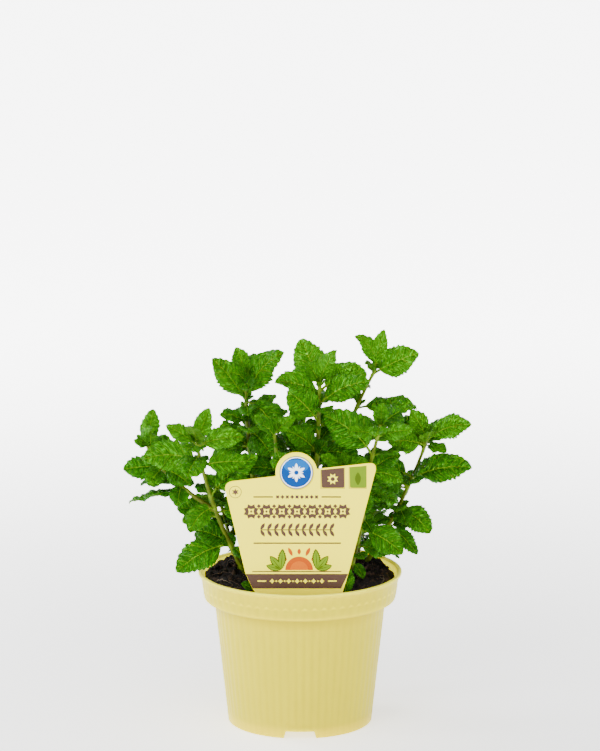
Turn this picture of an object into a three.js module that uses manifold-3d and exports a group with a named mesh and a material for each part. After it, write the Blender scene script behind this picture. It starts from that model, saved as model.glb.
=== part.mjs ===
// Potted moroccan mint: a nursery pot filled with soil, leafy stems of mint and a stick-in label.
// Millimetres, +Z up. The origin is on the pot's axis at the floor, and the label faces -Y.

import * as THREE from 'three';
import { mergeVertices } from 'three/addons/utils/BufferGeometryUtils.js';
import Module from 'manifold-3d';

const wasm = await Module();
wasm.setup();

// Driving dimensions of the pot: a tapered wall, a ledge, a wider band and a lip on top.
const POT_HEIGHT = 91;
const LIP = { radius: 60, overhang: 1.6, wide: 2.5, high: 1.6, bevel: 0.7 };
const BAND = { high: 16.5, flare: 2.1, corner: 0.6 };
const LEDGE = 5.8;
const FOOT = { radius: 42.4, high: 4.8, wide: 1.9 };
const WALL = 1.4;
const NOTCH = { wide: 19.3, top: 17, high: 4.3, first: -90, count: 3, deep: 14 };
const DRAIN = { radius: 4, ring: 24, count: 6, sides: 12, deep: 6 };
const ROUND = 32;

// Room between two pieces that lie against each other
const GAP = 0.3;

// Soil: mounded a little to the middle, and crumbly. Each wave is its share of x and of y, and its start.
const SOIL = { top: 87, mound: 2.2, inset: 0.4, crumb: 0.78, rings: [0.93, 0.76, 0.56, 0.32, 0] };
const CRUMB_WAVES = [[1.31, 0.67, 0], [-0.41, 1.73, 1.2], [0.83, 0, Math.PI / 2]];

// Label: half widths and heights of its point below the soil, then its outline above, seen from the front
const LABEL = {
  y: -44.6, thick: 0.8, centre: -1.7, low: 50, slotTop: 95, curve: 12,
  tongue: [[3, 0], [6.5, 2], [9, 7], [15, 25.5], [25.8, 37]],
  right: [[25.8, 91.3], [29.7, 100.2], [45, 160.5]],
  rightCorner: [46.5, 166.3, 41, 165.7],
  top: [11.2, 162.3],
  lobe: { x: -0.4, z: 160.2, radius: 12, from: 10, to: 190 },
  topLeft: [-36.8, 155.2],
  leftCorner: [-42.4, 154.4, -41.1, 148.7],
  left: [[-29.8, 100.2], [-25.8, 91.3]],
};

// Stems are square and thin out to the tip; a short stem is thinner all along.
const STEM = { foot: 1.75, taper: 0.85, least: 0.62, gain: 0.4, tall: 120, turn: [0.6, 0.8], root: 24 };
const STEM_STEPS = 5;

// Leaves: the stalk is a share of the length, and widths and folds are shares too.
const LEAF = { thick: 0.62, stalk: 0.16, stalkWide: 1.7, wide: 0.29, fold: 0.16, large: 25 };
const TOOTH = { crest: 0.6, out: 1.1, notch: 0.78, in: 0.84 };
const RIBS = { small: [0.5], large: [0.36, 0.7] };

// Reach kept clear around another stem's leaf, around a stem, and around the outer half of a leaf of
// the same stem
const CLEAR = { leaf: 3.0, stem: 3.6, own: 2.2 };
const SAMPLES = { rows: 8, first: 0.06, across: [-1, -0.5, 0, 0.5, 1], outer: 20, stem: 40 };

// Places where no leaf may go: the label's plate, a ring about the pot's rim and the soil's surface
const KEEP_OFF = {
  label: { half: 47, near: 2.5, top: 176 },
  rim: { from: 53, to: 62, top: 93.5 },
  soil: { to: 57, top: 91 },
};

// Colours and finishes
const FINISH = {
  pot: { color: 0xebdb82, roughness: 0.42, metalness: 0 },
  soil: { color: 0x241c17, roughness: 0.95, metalness: 0 },
  label: { color: 0xf8ee9e, roughness: 0.5, metalness: 0 },
  leaf: { color: 0x3c8212, roughness: 0.55, metalness: 0 },
};

// Leafy stems, in the order in which they grow into the room that is left.
// A stem runs from its foot to its tip, and has covered the share "lean" of its sideways run halfway up.
// A side branch has "on", its place as a share of the first stem, instead of a foot.
// A leaf is: share of the stem, tip right, tip back and tip up from there, degrees that its upper face
// leans to the viewer, degrees of droop from stalk to tip, and width against the usual one.
const SHOOTS = [
  ['stem_tall_left', [{ foot: [-15, 8, 87], tip: [-31.5, 2, 209], lean: 1.05, leaves: [
    [0.97, -6, 5, 18, 60, 20, 1.1], [0.97, 4, -5, 10, 20, 30, 1],
    [0.86, -20, 3, 25, 75, 20, 0.9], [0.86, 22, -3, 30, 60, 55, 0.85],
    [0.86, 19, -20, -15, 50, 50, 1.05], [0.80, -10, 20, -4, 30, 40, 1],
    [0.76, -16, -5, 5, 40, 40, 1.2], [0.76, 24, 8, 4, 30, 40, 1],
    [0.72, 14, -22, -11, 80, 40, 1.2], [0.64, -21, -8, 8, 60, 40, 1.1],
    [0.62, -6, 22, 5, 20, 40, 1], [0.50, -16, 6, 2, 30, 40, 1],
  ] }]],
  ['stem_tall_centre', [{ foot: [6, -8, 87], tip: [11.5, -10, 206], lean: 0.8, leaves: [
    [0.98, -8, 3, 14, 50, 30, 1], [0.98, 8, 6, 22, 50, 30, 0.8],
    [0.96, -7, 8, 31, 80, 15, 1.15], [0.97, 2, -10, 6, 30, 40, 1],
    [0.95, 28, 6, 9, 60, 60, 1], [0.89, 29, -8, 15, 60, 40, 0.95],
    [0.905, -31, -4, 15, 60, 55, 0.85], [0.86, 5, -24, 3, 35, 30, 0.9],
    [0.80, -18, -14, 21, 85, 20, 1.25], [0.76, 14, 14, 8, 60, 40, 1],
    [0.64, -19, -10, 16, 70, 40, 1], [0.64, 24, -10, -3, 50, 60, 1.1],
    [0.62, 5, -12, 12, 60, 20, 1.2], [0.5, 16, 12, 4, 30, 40, 1],
  ] }]],
  ['stem_tall_right', [{ foot: [12, 14, 87], tip: [44.5, 6, 211], lean: 0.02, leaves: [
    [0.99, -12, 2, 20, 50, 90, 0.8], [0.99, 2, 5, 24, 75, 10, 0.75],
    [0.97, 27, 2, 12, 65, 20, 1.15], [0.97, -3, -8, 10, 20, 20, 1],
    [0.80, 36, 3, 0, 10, 30, 1], [0.82, -14, 6, 20, 80, 20, 1.2],
    [0.66, 18, 8, -3, 50, 50, 1], [0.66, -16, -4, 4, 50, 40, 1],
    [0.5, 20, 14, 2, 30, 40, 1],
  ] }]],
  ['stem_far_right', [{ foot: [37, 17, 87], tip: [75, 4, 170], lean: 0.65, leaves: [
    [0.98, 26, -2, 10, 55, 45, 1], [0.98, -9, 4, 18, 70, 20, 1.1],
    [0.94, -22, -6, 3, 60, 40, 1.3], [0.94, 12, -14, -1, 30, 30, 0.9],
    [0.90, -4, 18, 10, 40, 30, 1],
    [0.70, 35, -4, 7, 60, 35, 0.95], [0.70, -26, -4, 12, 40, 20, 1.1],
    [0.62, -22, -3, -2, 60, 40, 1.1], [0.62, 10, 24, 4, 30, 40, 1],
    [0.47, 19, -6, -14, 60, 40, 1.2], [0.47, -16, -8, 5, 30, 30, 1],
    [0.34, 17, -4, -17, 60, 20, 0.8], [0.34, 7, -2, 8, 60, 60, 1],
    [0.16, 12, 0, 2, 60, 40, 1],
  ] }]],
  ['stem_inner_right', [{ foot: [22, -2, 87], tip: [46.5, -34, 186], lean: 0.55, leaves: [
    [0.97, 2, 3, 15, 60, 20, 1.1], [0.97, -2, -24, 2, 40, 30, 1],
    [0.92, -18, -4, 4, 40, 40, 1.1], [0.92, 20, -4, 5, 40, 30, 1],
    [0.80, -29, -6, 22, 75, 45, 1.1], [0.80, 22, -2, 4, 10, 20, 0.8],
    [0.60, 16, 8, 4, 30, 40, 1],
  ] }]],
  ['stem_left', [{ foot: [-30, -6, 87], tip: [-59.5, -40, 177], lean: 0.75, leaves: [
    [0.98, -18, 2, 11, 60, 20, 0.9], [0.98, 7, 4, 21, 75, 10, 0.9],
    [0.97, 27, -3, 5, 60, 30, 0.9], [0.90, -6, -33.5, -4, 20, 30, 1],
    [0.84, -34, -4, 4, 70, 60, 0.95], [0.84, 26, 4, 1, 75, 20, 1.1],
    [0.62, 27, -4, 24, 40, 30, 0.9], [0.62, -8, 16, 4, 20, 30, 1],
    [0.54, -14, -12, -12, 75, 70, 1.2], [0.27, -20, -3, 9, 60, 30, 1.3],
    [0.27, -31, -8, -15, 70, 40, 1], [0.25, 8, -8, -6, 60, 40, 1],
    [0.22, -5, -6, 12, 70, 20, 1.1], [0.10, 6, -8, 4, 60, 60, 0.9],
  ] }, { on: 0.52, tip: [-88.5, -22, 170.5], lean: 0.8, leaves: [
    [0.98, 3, 4, 22, 80, 10, 1], [0.98, -8, -3, 5, 50, 20, 1.1],
    [0.80, -3, -14, 5, 40, 30, 1], [0.66, -22, -4, 0, 65, 20, 1.3],
    [0.66, 17, -10, -8, 70, 30, 1.2],
    [0.30, -34, 2, -7, 0, 20, 1], [0.36, -2, -16, -8, 75, 60, 1.2],
  ] }]],
  ['stem_inner_left', [{ foot: [-6, -16, 87], tip: [-15, -24, 180], lean: 0.5, leaves: [
    [0.98, -12, 4, 10, 50, 30, 1], [0.98, 12, 2, 10, 50, 30, 1],
    [0.88, 4, -15, -10, 80, 30, 1.2],
    [0.74, -20, -4, 2, 50, 40, 1], [0.74, 20, -4, 2, 50, 40, 1],
    [0.6, 4, -14, -4, 40, 40, 1],
  ] }]],
  ['stem_behind_label', [{ foot: [14, -22, 87], tip: [24, -28, 160], lean: 0.5, leaves: [
    [0.98, -12, -2, 8, 50, 30, 1], [0.98, 16, -4, 4, 50, 40, 1],
    [0.80, -20, -4, 4, 60, 40, 1], [0.80, 20, 4, 2, 60, 40, 1],
  ] }]],
  ['stem_low_right', [{ foot: [27, -20, 87], tip: [38, -24, 132], lean: 0.6, leaves: [
    [0.9, 2, -4, 18, 70, 20, 1], [0.75, 24, -6, -13, 65, 40, 1.1],
    [0.6, -10, 8, 4, 30, 30, 1], [0.3, 6, -6, -8, 60, 60, 1],
  ] }]],
];

// Rear stems: they fan out over the back half, one short and outer, the next tall and inner.
const REAR = {
  count: 7, first: 30, last: 168, seed: 4711, lean: 0.6, back: 2,
  foot: [36, 24], reach: [50, 35], height: [138, 168],
  nodes: [[0.98, 0.8, 0.58, 0.34], [0.98, 0.84, 0.68, 0.5, 0.32]],
  sizes: [15, 25, 30, 28, 22], rises: [55, 30, 15, 5, 0], face: 30,
};

// A leaf that would touch another stem's leaf turns about its stem by these degrees until it is clear.
const TURNS = [0, 14, -14, 28, -28, 42, -42, 56, -56];
const LIFTS = [0, 12, -12];

const radians = (degrees) => (degrees * Math.PI) / 180;

function closed(geometry) {
  const bare = geometry.clone();
  bare.deleteAttribute('normal');
  bare.deleteAttribute('uv');
  const merged = mergeVertices(bare, 1e-4);
  const corners = merged.index.array;
  const kept = [];
  for (let i = 0; i < corners.length; i += 3) {
    const [a, b, c] = corners.slice(i, i + 3);
    if (a !== b && b !== c && c !== a) kept.push(a, b, c);
  }
  const vertProperties = new Float32Array(merged.attributes.position.array);
  return new wasm.Manifold(new wasm.Mesh({ numProp: 3, vertProperties, triVerts: new Uint32Array(kept) }));
}

// The largest body of a union, with any sealed hollow filled and any loose scrap left out.
function wholeBody(solid) {
  return solid.decompose().reduce((best, part) => (part.volume() > best.volume() ? part : best));
}

function geometryOf(solid) {
  const { vertProperties, triVerts } = solid.getMesh();
  const geometry = new THREE.BufferGeometry();
  geometry.setAttribute('position', new THREE.BufferAttribute(vertProperties, 3));
  geometry.setIndex(new THREE.BufferAttribute(triVerts, 1));
  geometry.computeVertexNormals();
  return geometry;
}

function nodeOf(name, solid, finish) {
  const mesh = new THREE.Mesh(geometryOf(solid), new THREE.MeshStandardMaterial(finish));
  mesh.name = name;
  return mesh;
}

function turned(profile) {
  const points = profile.map(([r, z]) => new THREE.Vector2(r, z));
  return new THREE.LatheGeometry(points, ROUND).rotateX(Math.PI / 2);
}

// Pot

const BAND_TOP = POT_HEIGHT - LIP.high - LIP.bevel;
const LEDGE_Z = POT_HEIGHT - BAND.high;
const BAND_TOP_RADIUS = LIP.radius - LIP.overhang;
const BAND_LOW_RADIUS = BAND_TOP_RADIUS - BAND.flare;
const WALL_TOP_RADIUS = BAND_LOW_RADIUS - LEDGE;

const wallRadius = (z) => FOOT.radius + ((WALL_TOP_RADIUS - FOOT.radius) * z) / LEDGE_Z;
const bandRadius = (z) => BAND_LOW_RADIUS + (BAND.flare * (z - LEDGE_Z)) / (BAND_TOP - LEDGE_Z);

function potProfile() {
  const floor = FOOT.high + WALL;
  const shelf = LEDGE_Z + WALL;
  return [
    [0, FOOT.high], [FOOT.radius - FOOT.wide, FOOT.high], [FOOT.radius - FOOT.wide, 0], [FOOT.radius, 0],
    [wallRadius(LEDGE_Z), LEDGE_Z], [BAND_LOW_RADIUS - BAND.corner, LEDGE_Z],
    [BAND_LOW_RADIUS, LEDGE_Z + BAND.corner], [BAND_TOP_RADIUS, BAND_TOP],
    [LIP.radius, POT_HEIGHT - LIP.high], [LIP.radius, POT_HEIGHT - LIP.bevel],
    [LIP.radius - LIP.bevel, POT_HEIGHT], [LIP.radius - LIP.wide + LIP.bevel, POT_HEIGHT],
    [LIP.radius - LIP.wide, POT_HEIGHT - LIP.bevel], [bandRadius(shelf) - WALL, shelf],
    [wallRadius(LEDGE_Z) - WALL, shelf], [wallRadius(floor) - WALL, floor], [0, floor],
  ];
}

function notchCutter() {
  const [foot, top] = [NOTCH.wide / 2, NOTCH.top / 2];
  const corners = [[-foot, -1], [foot, -1], [foot, 0], [top, NOTCH.high], [-top, NOTCH.high], [-foot, 0]];
  const outline = new THREE.Shape(corners.map(([x, z]) => new THREE.Vector2(x, z)));
  const cutter = new THREE.ExtrudeGeometry(outline, { depth: NOTCH.deep, bevelEnabled: false });
  return cutter.rotateX(Math.PI / 2).translate(0, FOOT.radius + NOTCH.deep / 2, 0);
}

function drainCutter() {
  const hole = new THREE.CylinderGeometry(DRAIN.radius, DRAIN.radius, DRAIN.deep, DRAIN.sides);
  return hole.rotateX(Math.PI / 2).translate(0, 0, FOOT.high);
}

function buildPot() {
  let pot = closed(turned(potProfile())).subtract(closed(drainCutter()));
  for (let k = 0; k < NOTCH.count; k += 1) {
    const turn = radians(NOTCH.first - 90 + (360 * k) / NOTCH.count);
    pot = pot.subtract(closed(notchCutter().rotateZ(turn)));
  }
  for (let k = 0; k < DRAIN.count; k += 1) {
    const turn = radians((360 * k) / DRAIN.count);
    pot = pot.subtract(closed(drainCutter().translate(DRAIN.ring, 0, 0).rotateZ(turn)));
  }
  return pot;
}

// Soil

const SOIL_RADIUS = bandRadius(SOIL.top) - WALL - GAP - SOIL.inset;

// The mound falls off as the square of the distance; the first wave adds to the product of the other two.
function soilHeight(x, y) {
  const share = Math.hypot(x, y) / SOIL_RADIUS;
  const [first, second, third] = CRUMB_WAVES.map(([a, b, start]) => Math.sin(a * x + b * y + start));
  const crumbs = share < 0.98 ? SOIL.crumb * (first + second * third) : 0;
  return SOIL.top + SOIL.mound * (1 - share * share) + crumbs;
}

function buildSoil(roots, slot) {
  const floor = FOOT.high + WALL + GAP;
  const shelf = LEDGE_Z + WALL + GAP;
  const geometry = turned([
    [0, floor], [wallRadius(floor) - WALL - GAP, floor], [wallRadius(LEDGE_Z) - WALL - GAP, shelf],
    [bandRadius(shelf) - WALL - GAP, shelf], [SOIL_RADIUS, SOIL.top],
    ...SOIL.rings.map((share) => [share * SOIL_RADIUS, SOIL.top]),
  ]);
  const place = geometry.attributes.position;
  for (let i = 0; i < place.count; i += 1) {
    if (place.getZ(i) > SOIL.top - 0.01) place.setZ(i, soilHeight(place.getX(i), place.getY(i)));
  }
  let soil = closed(geometry).subtract(closed(slot));
  for (const root of roots) soil = soil.subtract(root);
  return soil;
}

// Label

// The part above the soil of the label, from the right corner of its shoulder round to the left one.
function labelHead(shape) {
  const { right, rightCorner, top, lobe, topLeft, leftCorner, left } = LABEL;
  right.forEach(([x, z]) => shape.lineTo(x, z));
  shape.quadraticCurveTo(...rightCorner);
  shape.lineTo(...top);
  shape.absarc(lobe.x, lobe.z, lobe.radius, radians(lobe.from), radians(lobe.to), false);
  shape.lineTo(...topLeft);
  shape.quadraticCurveTo(...leftCorner);
  left.forEach(([x, z]) => shape.lineTo(x, z));
}

// The label itself, or, grown by the gap and cut off above the soil, the slot that it stands in.
function labelPlate(grow) {
  const tongue = LABEL.tongue.map(([x, z]) => [x + grow, LABEL.low + z - grow]);
  const shape = new THREE.Shape();
  shape.moveTo(...tongue[0]);
  tongue.slice(1).forEach(([x, z]) => shape.lineTo(x, z));
  if (grow > 0) {
    const [reach] = tongue.at(-1);
    shape.lineTo(reach, LABEL.slotTop);
    shape.lineTo(-reach, LABEL.slotTop);
  } else {
    labelHead(shape);
  }
  tongue.reverse().forEach(([x, z]) => shape.lineTo(-x, z));
  const depth = LABEL.thick + 2 * grow;
  const plate = new THREE.ExtrudeGeometry(shape, { depth, bevelEnabled: false, curveSegments: LABEL.curve });
  return plate.rotateX(Math.PI / 2).translate(LABEL.centre, LABEL.y + depth / 2, 0);
}

// Mint stems and leaves

const lengthOf = (v) => Math.hypot(...v);
const scaled = (v, k) => v.map((c) => c * k);
const sum = (a, b) => a.map((c, i) => c + b[i]);
const difference = (a, b) => a.map((c, i) => c - b[i]);
const cross = (a, b) => [a[1] * b[2] - a[2] * b[1], a[2] * b[0] - a[0] * b[2], a[0] * b[1] - a[1] * b[0]];
const unit = (v) => scaled(v, 1 / lengthOf(v));

function controlOf(stem) {
  const run = difference(stem.tip, stem.foot);
  return sum(stem.foot, [run[0] * stem.lean, run[1] * stem.lean, run[2] / 2]);
}

function stemPoint(stem, t) {
  const control = controlOf(stem);
  return stem.foot.map((c, i) => (1 - t) ** 2 * c + 2 * t * (1 - t) * control[i] + t * t * stem.tip[i]);
}

function stemHalf(stem, t) {
  const tall = lengthOf(difference(stem.tip, stem.foot)) / STEM.tall;
  return (STEM.foot - STEM.taper * t) * Math.min(1, STEM.least + STEM.gain * tall);
}

// A square stem: rings of four corners along its curve, begun below the soil if it has a root.
function stemBody(stem, grow, steps, root) {
  const rings = [];
  const up = [0, 0, 1];
  const start = unit(sum(unit(difference(controlOf(stem), stem.foot)), up));
  if (root) rings.push([sum(stem.foot, scaled(up, -STEM.root - grow)), up, stemHalf(stem, 0) + grow]);
  for (let k = 0; k <= steps; k += 1) {
    const t = k / STEM_STEPS;
    const ahead = unit(difference(stemPoint(stem, t + 0.01), stemPoint(stem, t - 0.01)));
    rings.push([stemPoint(stem, t), k === 0 && root ? start : ahead, stemHalf(stem, t) + grow]);
  }
  const points = [];
  for (const [centre, ahead, half] of rings) {
    const across = unit(cross([...STEM.turn, 0], ahead));
    const back = cross(ahead, across);
    for (const [a, b] of [[1, 1], [-1, 1], [-1, -1], [1, -1]]) {
      points.push(sum(centre, sum(scaled(across, a * half), scaled(back, b * half))));
    }
  }
  const faces = [[2, 1, 0], [3, 2, 0]];
  for (let k = 0; k + 1 < rings.length; k += 1) {
    for (let j = 0; j < 4; j += 1) {
      const [a, b] = [4 * k + j, 4 * k + ((j + 1) % 4)];
      faces.push([a, b, b + 4], [a, b + 4, a + 4]);
    }
  }
  const last = 4 * (rings.length - 1);
  faces.push([last, last + 1, last + 2], [last, last + 2, last + 3]);
  return closed(meshOf(points, faces));
}

function meshOf(points, faces) {
  const geometry = new THREE.BufferGeometry();
  geometry.setAttribute('position', new THREE.BufferAttribute(new Float32Array(points.flat()), 3));
  geometry.setIndex(faces.flat());
  return geometry;
}

// The share of the whole midrib at the share x of the blade, and the blade's outline without its teeth
const along = (x) => LEAF.stalk + (1 - LEAF.stalk) * x;
const bladeShape = (x) => Math.sin(Math.PI * Math.min(1, Math.max(0, x)) ** 0.8) ** 0.7;

// The midrib is an arc over the chord from the stem to the leaf's tip; at(u, q) is the place at the
// share u of the midrib and q to the side, with the blade folded up a little from the midrib.
function leafCurve(root, leaf) {
  const { chord, face, look, droop, wide } = leaf;
  const half = radians(droop) / 2;
  const reach = Math.hypot(chord[0], chord[1]);
  const rise = Math.atan2(chord[2], reach);
  const radius = lengthOf(chord) / 2 / Math.sin(half);
  const length = radius * 2 * half;
  const head = [chord[0] / reach, chord[1] / reach];
  const [lean, toward] = [radians(face), radians(look)];
  const facing = [Math.cos(toward) * Math.sin(lean), Math.sin(toward) * Math.sin(lean), Math.cos(lean)];
  const at = (u, q) => {
    const a = rise + half - 2 * half * u;
    const r = radius * (Math.sin(rise + half) - Math.sin(a));
    const z = radius * (Math.cos(a) - Math.cos(rise + half));
    const ahead = [Math.cos(a) * head[0], Math.cos(a) * head[1], Math.sin(a)];
    const side = unit(cross(ahead, facing));
    const normal = cross(side, ahead);
    const place = sum(root, [r * head[0], r * head[1], z]);
    return [sum(place, sum(scaled(side, q), scaled(normal, LEAF.fold * Math.abs(q)))), normal];
  };
  const halfWidth = (x) => LEAF.wide * wide * length * (1 - LEAF.stalk) * bladeShape(x);
  return { at, halfWidth, length };
}

// Join two rows of [share, vertex] that start level and end at the same tip into triangles.
function zip(left, right) {
  const faces = [];
  let [i, j] = [0, 0];
  while (i + 1 < left.length || j + 1 < right.length) {
    const nextLeft = i + 1 < left.length ? left[i + 1][0] : Infinity;
    const nextRight = j + 1 < right.length ? right[j + 1][0] : Infinity;
    if (nextLeft < nextRight) {
      faces.push([left[i][1], right[j][1], left[i + 1][1]]);
      i += 1;
    } else {
      faces.push([left[i][1], right[j][1], right[j + 1][1]]);
      j += 1;
    }
  }
  return faces.filter(([a, b, c]) => a !== b && b !== c && c !== a);
}

// A serrate blade on its stalk: a toothed outline and a midrib, the same triangles on both faces.
function leafBody(root, leaf) {
  const { at, halfWidth, length } = leafCurve(root, leaf);
  const large = length > LEAF.large;
  const teeth = large ? 3 : 2;
  const side = [[0, LEAF.stalkWide / 2], [LEAF.stalk, LEAF.stalkWide / 2]];
  for (let k = 0; k < teeth; k += 1) {
    const [crest, notch] = [(k + TOOTH.crest) / teeth, (k + TOOTH.notch) / teeth];
    side.push([along(crest), TOOTH.out * halfWidth(crest)], [along(notch), TOOTH.in * halfWidth(notch)]);
  }
  const ribs = [LEAF.stalk, ...(large ? RIBS.large : RIBS.small).map(along)];
  const spots = [...side, ...side.map(([u, q]) => [u, -q]), ...ribs.map((u) => [u, 0]), [1, 0]];
  const count = spots.length;
  const n = side.length;
  const tip = count - 1;
  const right = [...side.map(([u], i) => [u, i]), [1, tip]];
  const left = [...side.map(([u], i) => [u, n + i]), [1, tip]];
  const rib = [...ribs.map((u, i) => [u, 2 * n + i]), [1, tip]];
  const top = [...zip(left, rib), ...zip(rib, right), [0, 2 * n, n]];
  const rim = [...right.map(([, i]) => i), ...left.map(([, i]) => i).reverse().slice(1)];
  const faces = [];
  for (const [a, b, c] of top) faces.push([a, b, c], [a + count, c + count, b + count]);
  rim.forEach((a, i) => {
    const b = rim[(i + 1) % rim.length];
    faces.push([b, a, a + count], [b, a + count, b + count]);
  });
  const upper = spots.map(([u, q]) => at(u, q));
  const points = [1, -1].flatMap((s) => upper.map(([p, nrm]) => sum(p, scaled(nrm, (s * LEAF.thick) / 2))));
  return closed(meshOf(points, faces));
}

function blocked([x, y, z]) {
  const { label, rim, soil } = KEEP_OFF;
  const r = Math.hypot(x, y);
  const before = Math.abs(x - LABEL.centre) < label.half && Math.abs(y - LABEL.y) < label.near;
  const onRim = r > rim.from && r < rim.to && z < rim.top;
  return (before && z < label.top) || onRim || (r < soil.to && z < soil.top);
}

function leafSamples(root, leaf) {
  const { at, halfWidth } = leafCurve(root, leaf);
  const points = [];
  for (let i = 0; i < SAMPLES.rows; i += 1) {
    const x = SAMPLES.first + ((1 - SAMPLES.first) * i) / (SAMPLES.rows - 1);
    for (const v of SAMPLES.across) points.push(at(along(x), v * halfWidth(x))[0]);
  }
  return points;
}

function touches(points, others) {
  return points.some((p) => blocked(p) || others.some(([q, reach]) => (
    (p[0] - q[0]) ** 2 + (p[1] - q[1]) ** 2 + (p[2] - q[2]) ** 2 < reach * reach
  )));
}

function turnedLeaf(leaf, turn, lift) {
  const [x, y, z] = leaf.chord;
  const reach = Math.hypot(x, y);
  const span = Math.hypot(reach, z);
  const angle = Math.atan2(y, x) + radians(turn);
  const rise = Math.atan2(z, reach) + radians(lift);
  const chord = [span * Math.cos(rise) * Math.cos(angle), span * Math.cos(rise) * Math.sin(angle),
    span * Math.sin(rise)];
  return { ...leaf, chord };
}

// The first turn and lift that keep the leaf clear, or nothing where it finds no room.
function settle(root, leaf, others) {
  for (const lift of LIFTS) {
    for (const turn of TURNS) {
      const trial = turn === 0 && lift === 0 ? leaf : turnedLeaf(leaf, turn, lift);
      const points = leafSamples(root, trial);
      if (!touches(points, others)) return [trial, points];
    }
  }
  return null;
}

function frontShoots() {
  return SHOOTS.map(([name, stems]) => ({
    name,
    stems: stems.map((stem) => ({
      ...stem,
      foot: stem.foot ?? stemPoint(stems[0], stem.on),
      leaves: stem.leaves.map(([at, x, y, z, face, droop, wide]) => (
        { at, chord: [x, y, z], face, look: -90, droop, wide })),
    })),
  }));
}

function rearShoots() {
  let seed = REAR.seed;
  const random = (low, high) => {
    seed = (seed * 48271) % 2147483647;
    return low + ((high - low) * seed) / 2147483647;
  };
  const shoots = [];
  for (let k = 0; k < REAR.count; k += 1) {
    const angle = REAR.first + ((REAR.last - REAR.first) * k) / (REAR.count - 1) + random(-3, 3);
    const out = [Math.cos(radians(angle)), Math.sin(radians(angle))];
    const kind = k % 2;
    const [near, far] = [REAR.foot[kind], REAR.reach[kind]];
    const stem = {
      foot: [near * out[0], near * out[1] + REAR.back, SOIL.top],
      tip: [far * out[0], far * out[1] + REAR.back, REAR.height[kind] + random(-5, 5)],
      lean: REAR.lean,
      leaves: [],
    };
    REAR.nodes[kind].forEach((at, i) => {
      const pair = angle + 90 * (i + kind) + random(-15, 15);
      for (const turn of [pair, pair + 180]) {
        const [size, rise] = [REAR.sizes[i] * random(0.85, 1.12), radians(REAR.rises[i] + random(-8, 8))];
        const run = size * Math.cos(rise);
        const chord = [run * Math.cos(radians(turn)), run * Math.sin(radians(turn)), size * Math.sin(rise)];
        const [droop, wide] = [random(30, 55), random(0.95, 1.15)];
        stem.leaves.push({ at, chord, face: REAR.face, look: angle, droop, wide });
      }
    });
    shoots.push({ name: `stem_rear_${k + 1}`, stems: [stem] });
  }
  return shoots;
}

function buildShoots() {
  const shoots = [...frontShoots(), ...rearShoots()];
  const taken = [];
  shoots.forEach(({ stems }, owner) => stems.forEach((stem) => {
    for (let k = 0; k <= SAMPLES.stem; k += 1) {
      taken.push([stemPoint(stem, k / SAMPLES.stem), CLEAR.stem, owner]);
    }
  }));
  return shoots.map(({ name, stems }, owner) => {
    const others = taken.filter(([, , whose]) => whose !== owner);
    let solid = null;
    stems.forEach((stem, order) => {
      const body = stemBody(stem, 0, STEM_STEPS, order === 0);
      solid = solid ? solid.add(body) : body;
      for (const leaf of stem.leaves) {
        const root = stemPoint(stem, leaf.at);
        const found = settle(root, leaf, others);
        if (!found) continue;
        const [settled, points] = found;
        solid = solid.add(leafBody(root, settled));
        taken.push(...points.map((p) => [p, CLEAR.leaf, owner]));
        others.push(...points.slice(SAMPLES.outer).map((p) => [p, CLEAR.own, owner]));
      }
    });
    return { name, solid: wholeBody(solid), hole: stemBody(stems[0], GAP, 1, true) };
  });
}

function buildPlant() {
  const plant = new THREE.Group();
  const shoots = buildShoots();
  plant.add(nodeOf('pot', buildPot(), FINISH.pot));
  plant.add(nodeOf('soil', buildSoil(shoots.map(({ hole }) => hole), labelPlate(GAP)), FINISH.soil));
  plant.add(nodeOf('label', closed(labelPlate(0)), FINISH.label));
  for (const { name, solid } of shoots) plant.add(nodeOf(name, solid, FINISH.leaf));
  return plant;
}

export default buildPlant();
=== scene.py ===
"""Potted mint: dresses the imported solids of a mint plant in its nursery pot, with soil and a stick-in label.

Sizes in the tables below are millimetres and become metres where a mesh is made. +Z is up, the origin is on
the pot's axis at the floor, and the label faces -Y.
"""

import bpy
import numpy as np
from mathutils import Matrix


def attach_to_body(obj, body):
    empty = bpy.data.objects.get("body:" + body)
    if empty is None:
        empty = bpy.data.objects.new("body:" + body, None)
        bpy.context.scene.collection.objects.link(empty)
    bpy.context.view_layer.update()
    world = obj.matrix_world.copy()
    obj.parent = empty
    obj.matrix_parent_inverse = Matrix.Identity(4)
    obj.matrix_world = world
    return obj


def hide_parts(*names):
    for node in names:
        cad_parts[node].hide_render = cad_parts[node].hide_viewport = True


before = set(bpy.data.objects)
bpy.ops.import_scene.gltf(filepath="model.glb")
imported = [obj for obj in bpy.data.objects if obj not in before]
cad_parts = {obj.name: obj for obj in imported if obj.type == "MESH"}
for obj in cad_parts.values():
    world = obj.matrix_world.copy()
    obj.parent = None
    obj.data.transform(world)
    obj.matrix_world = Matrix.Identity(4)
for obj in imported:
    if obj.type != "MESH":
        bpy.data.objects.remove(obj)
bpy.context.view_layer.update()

bl_info = {
    "name": "Potted Mint",
    "version": (1, 0, 0),
    "blender": (4, 5, 0),
    "location": "3D View > Sidebar > Mint",
    "description": "Builds a potted mint plant with soil, label and studio around its packed solids",
    "category": "Add Mesh",
}

MM = 0.001
UP = np.array([0, 0, 1.0])

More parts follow.
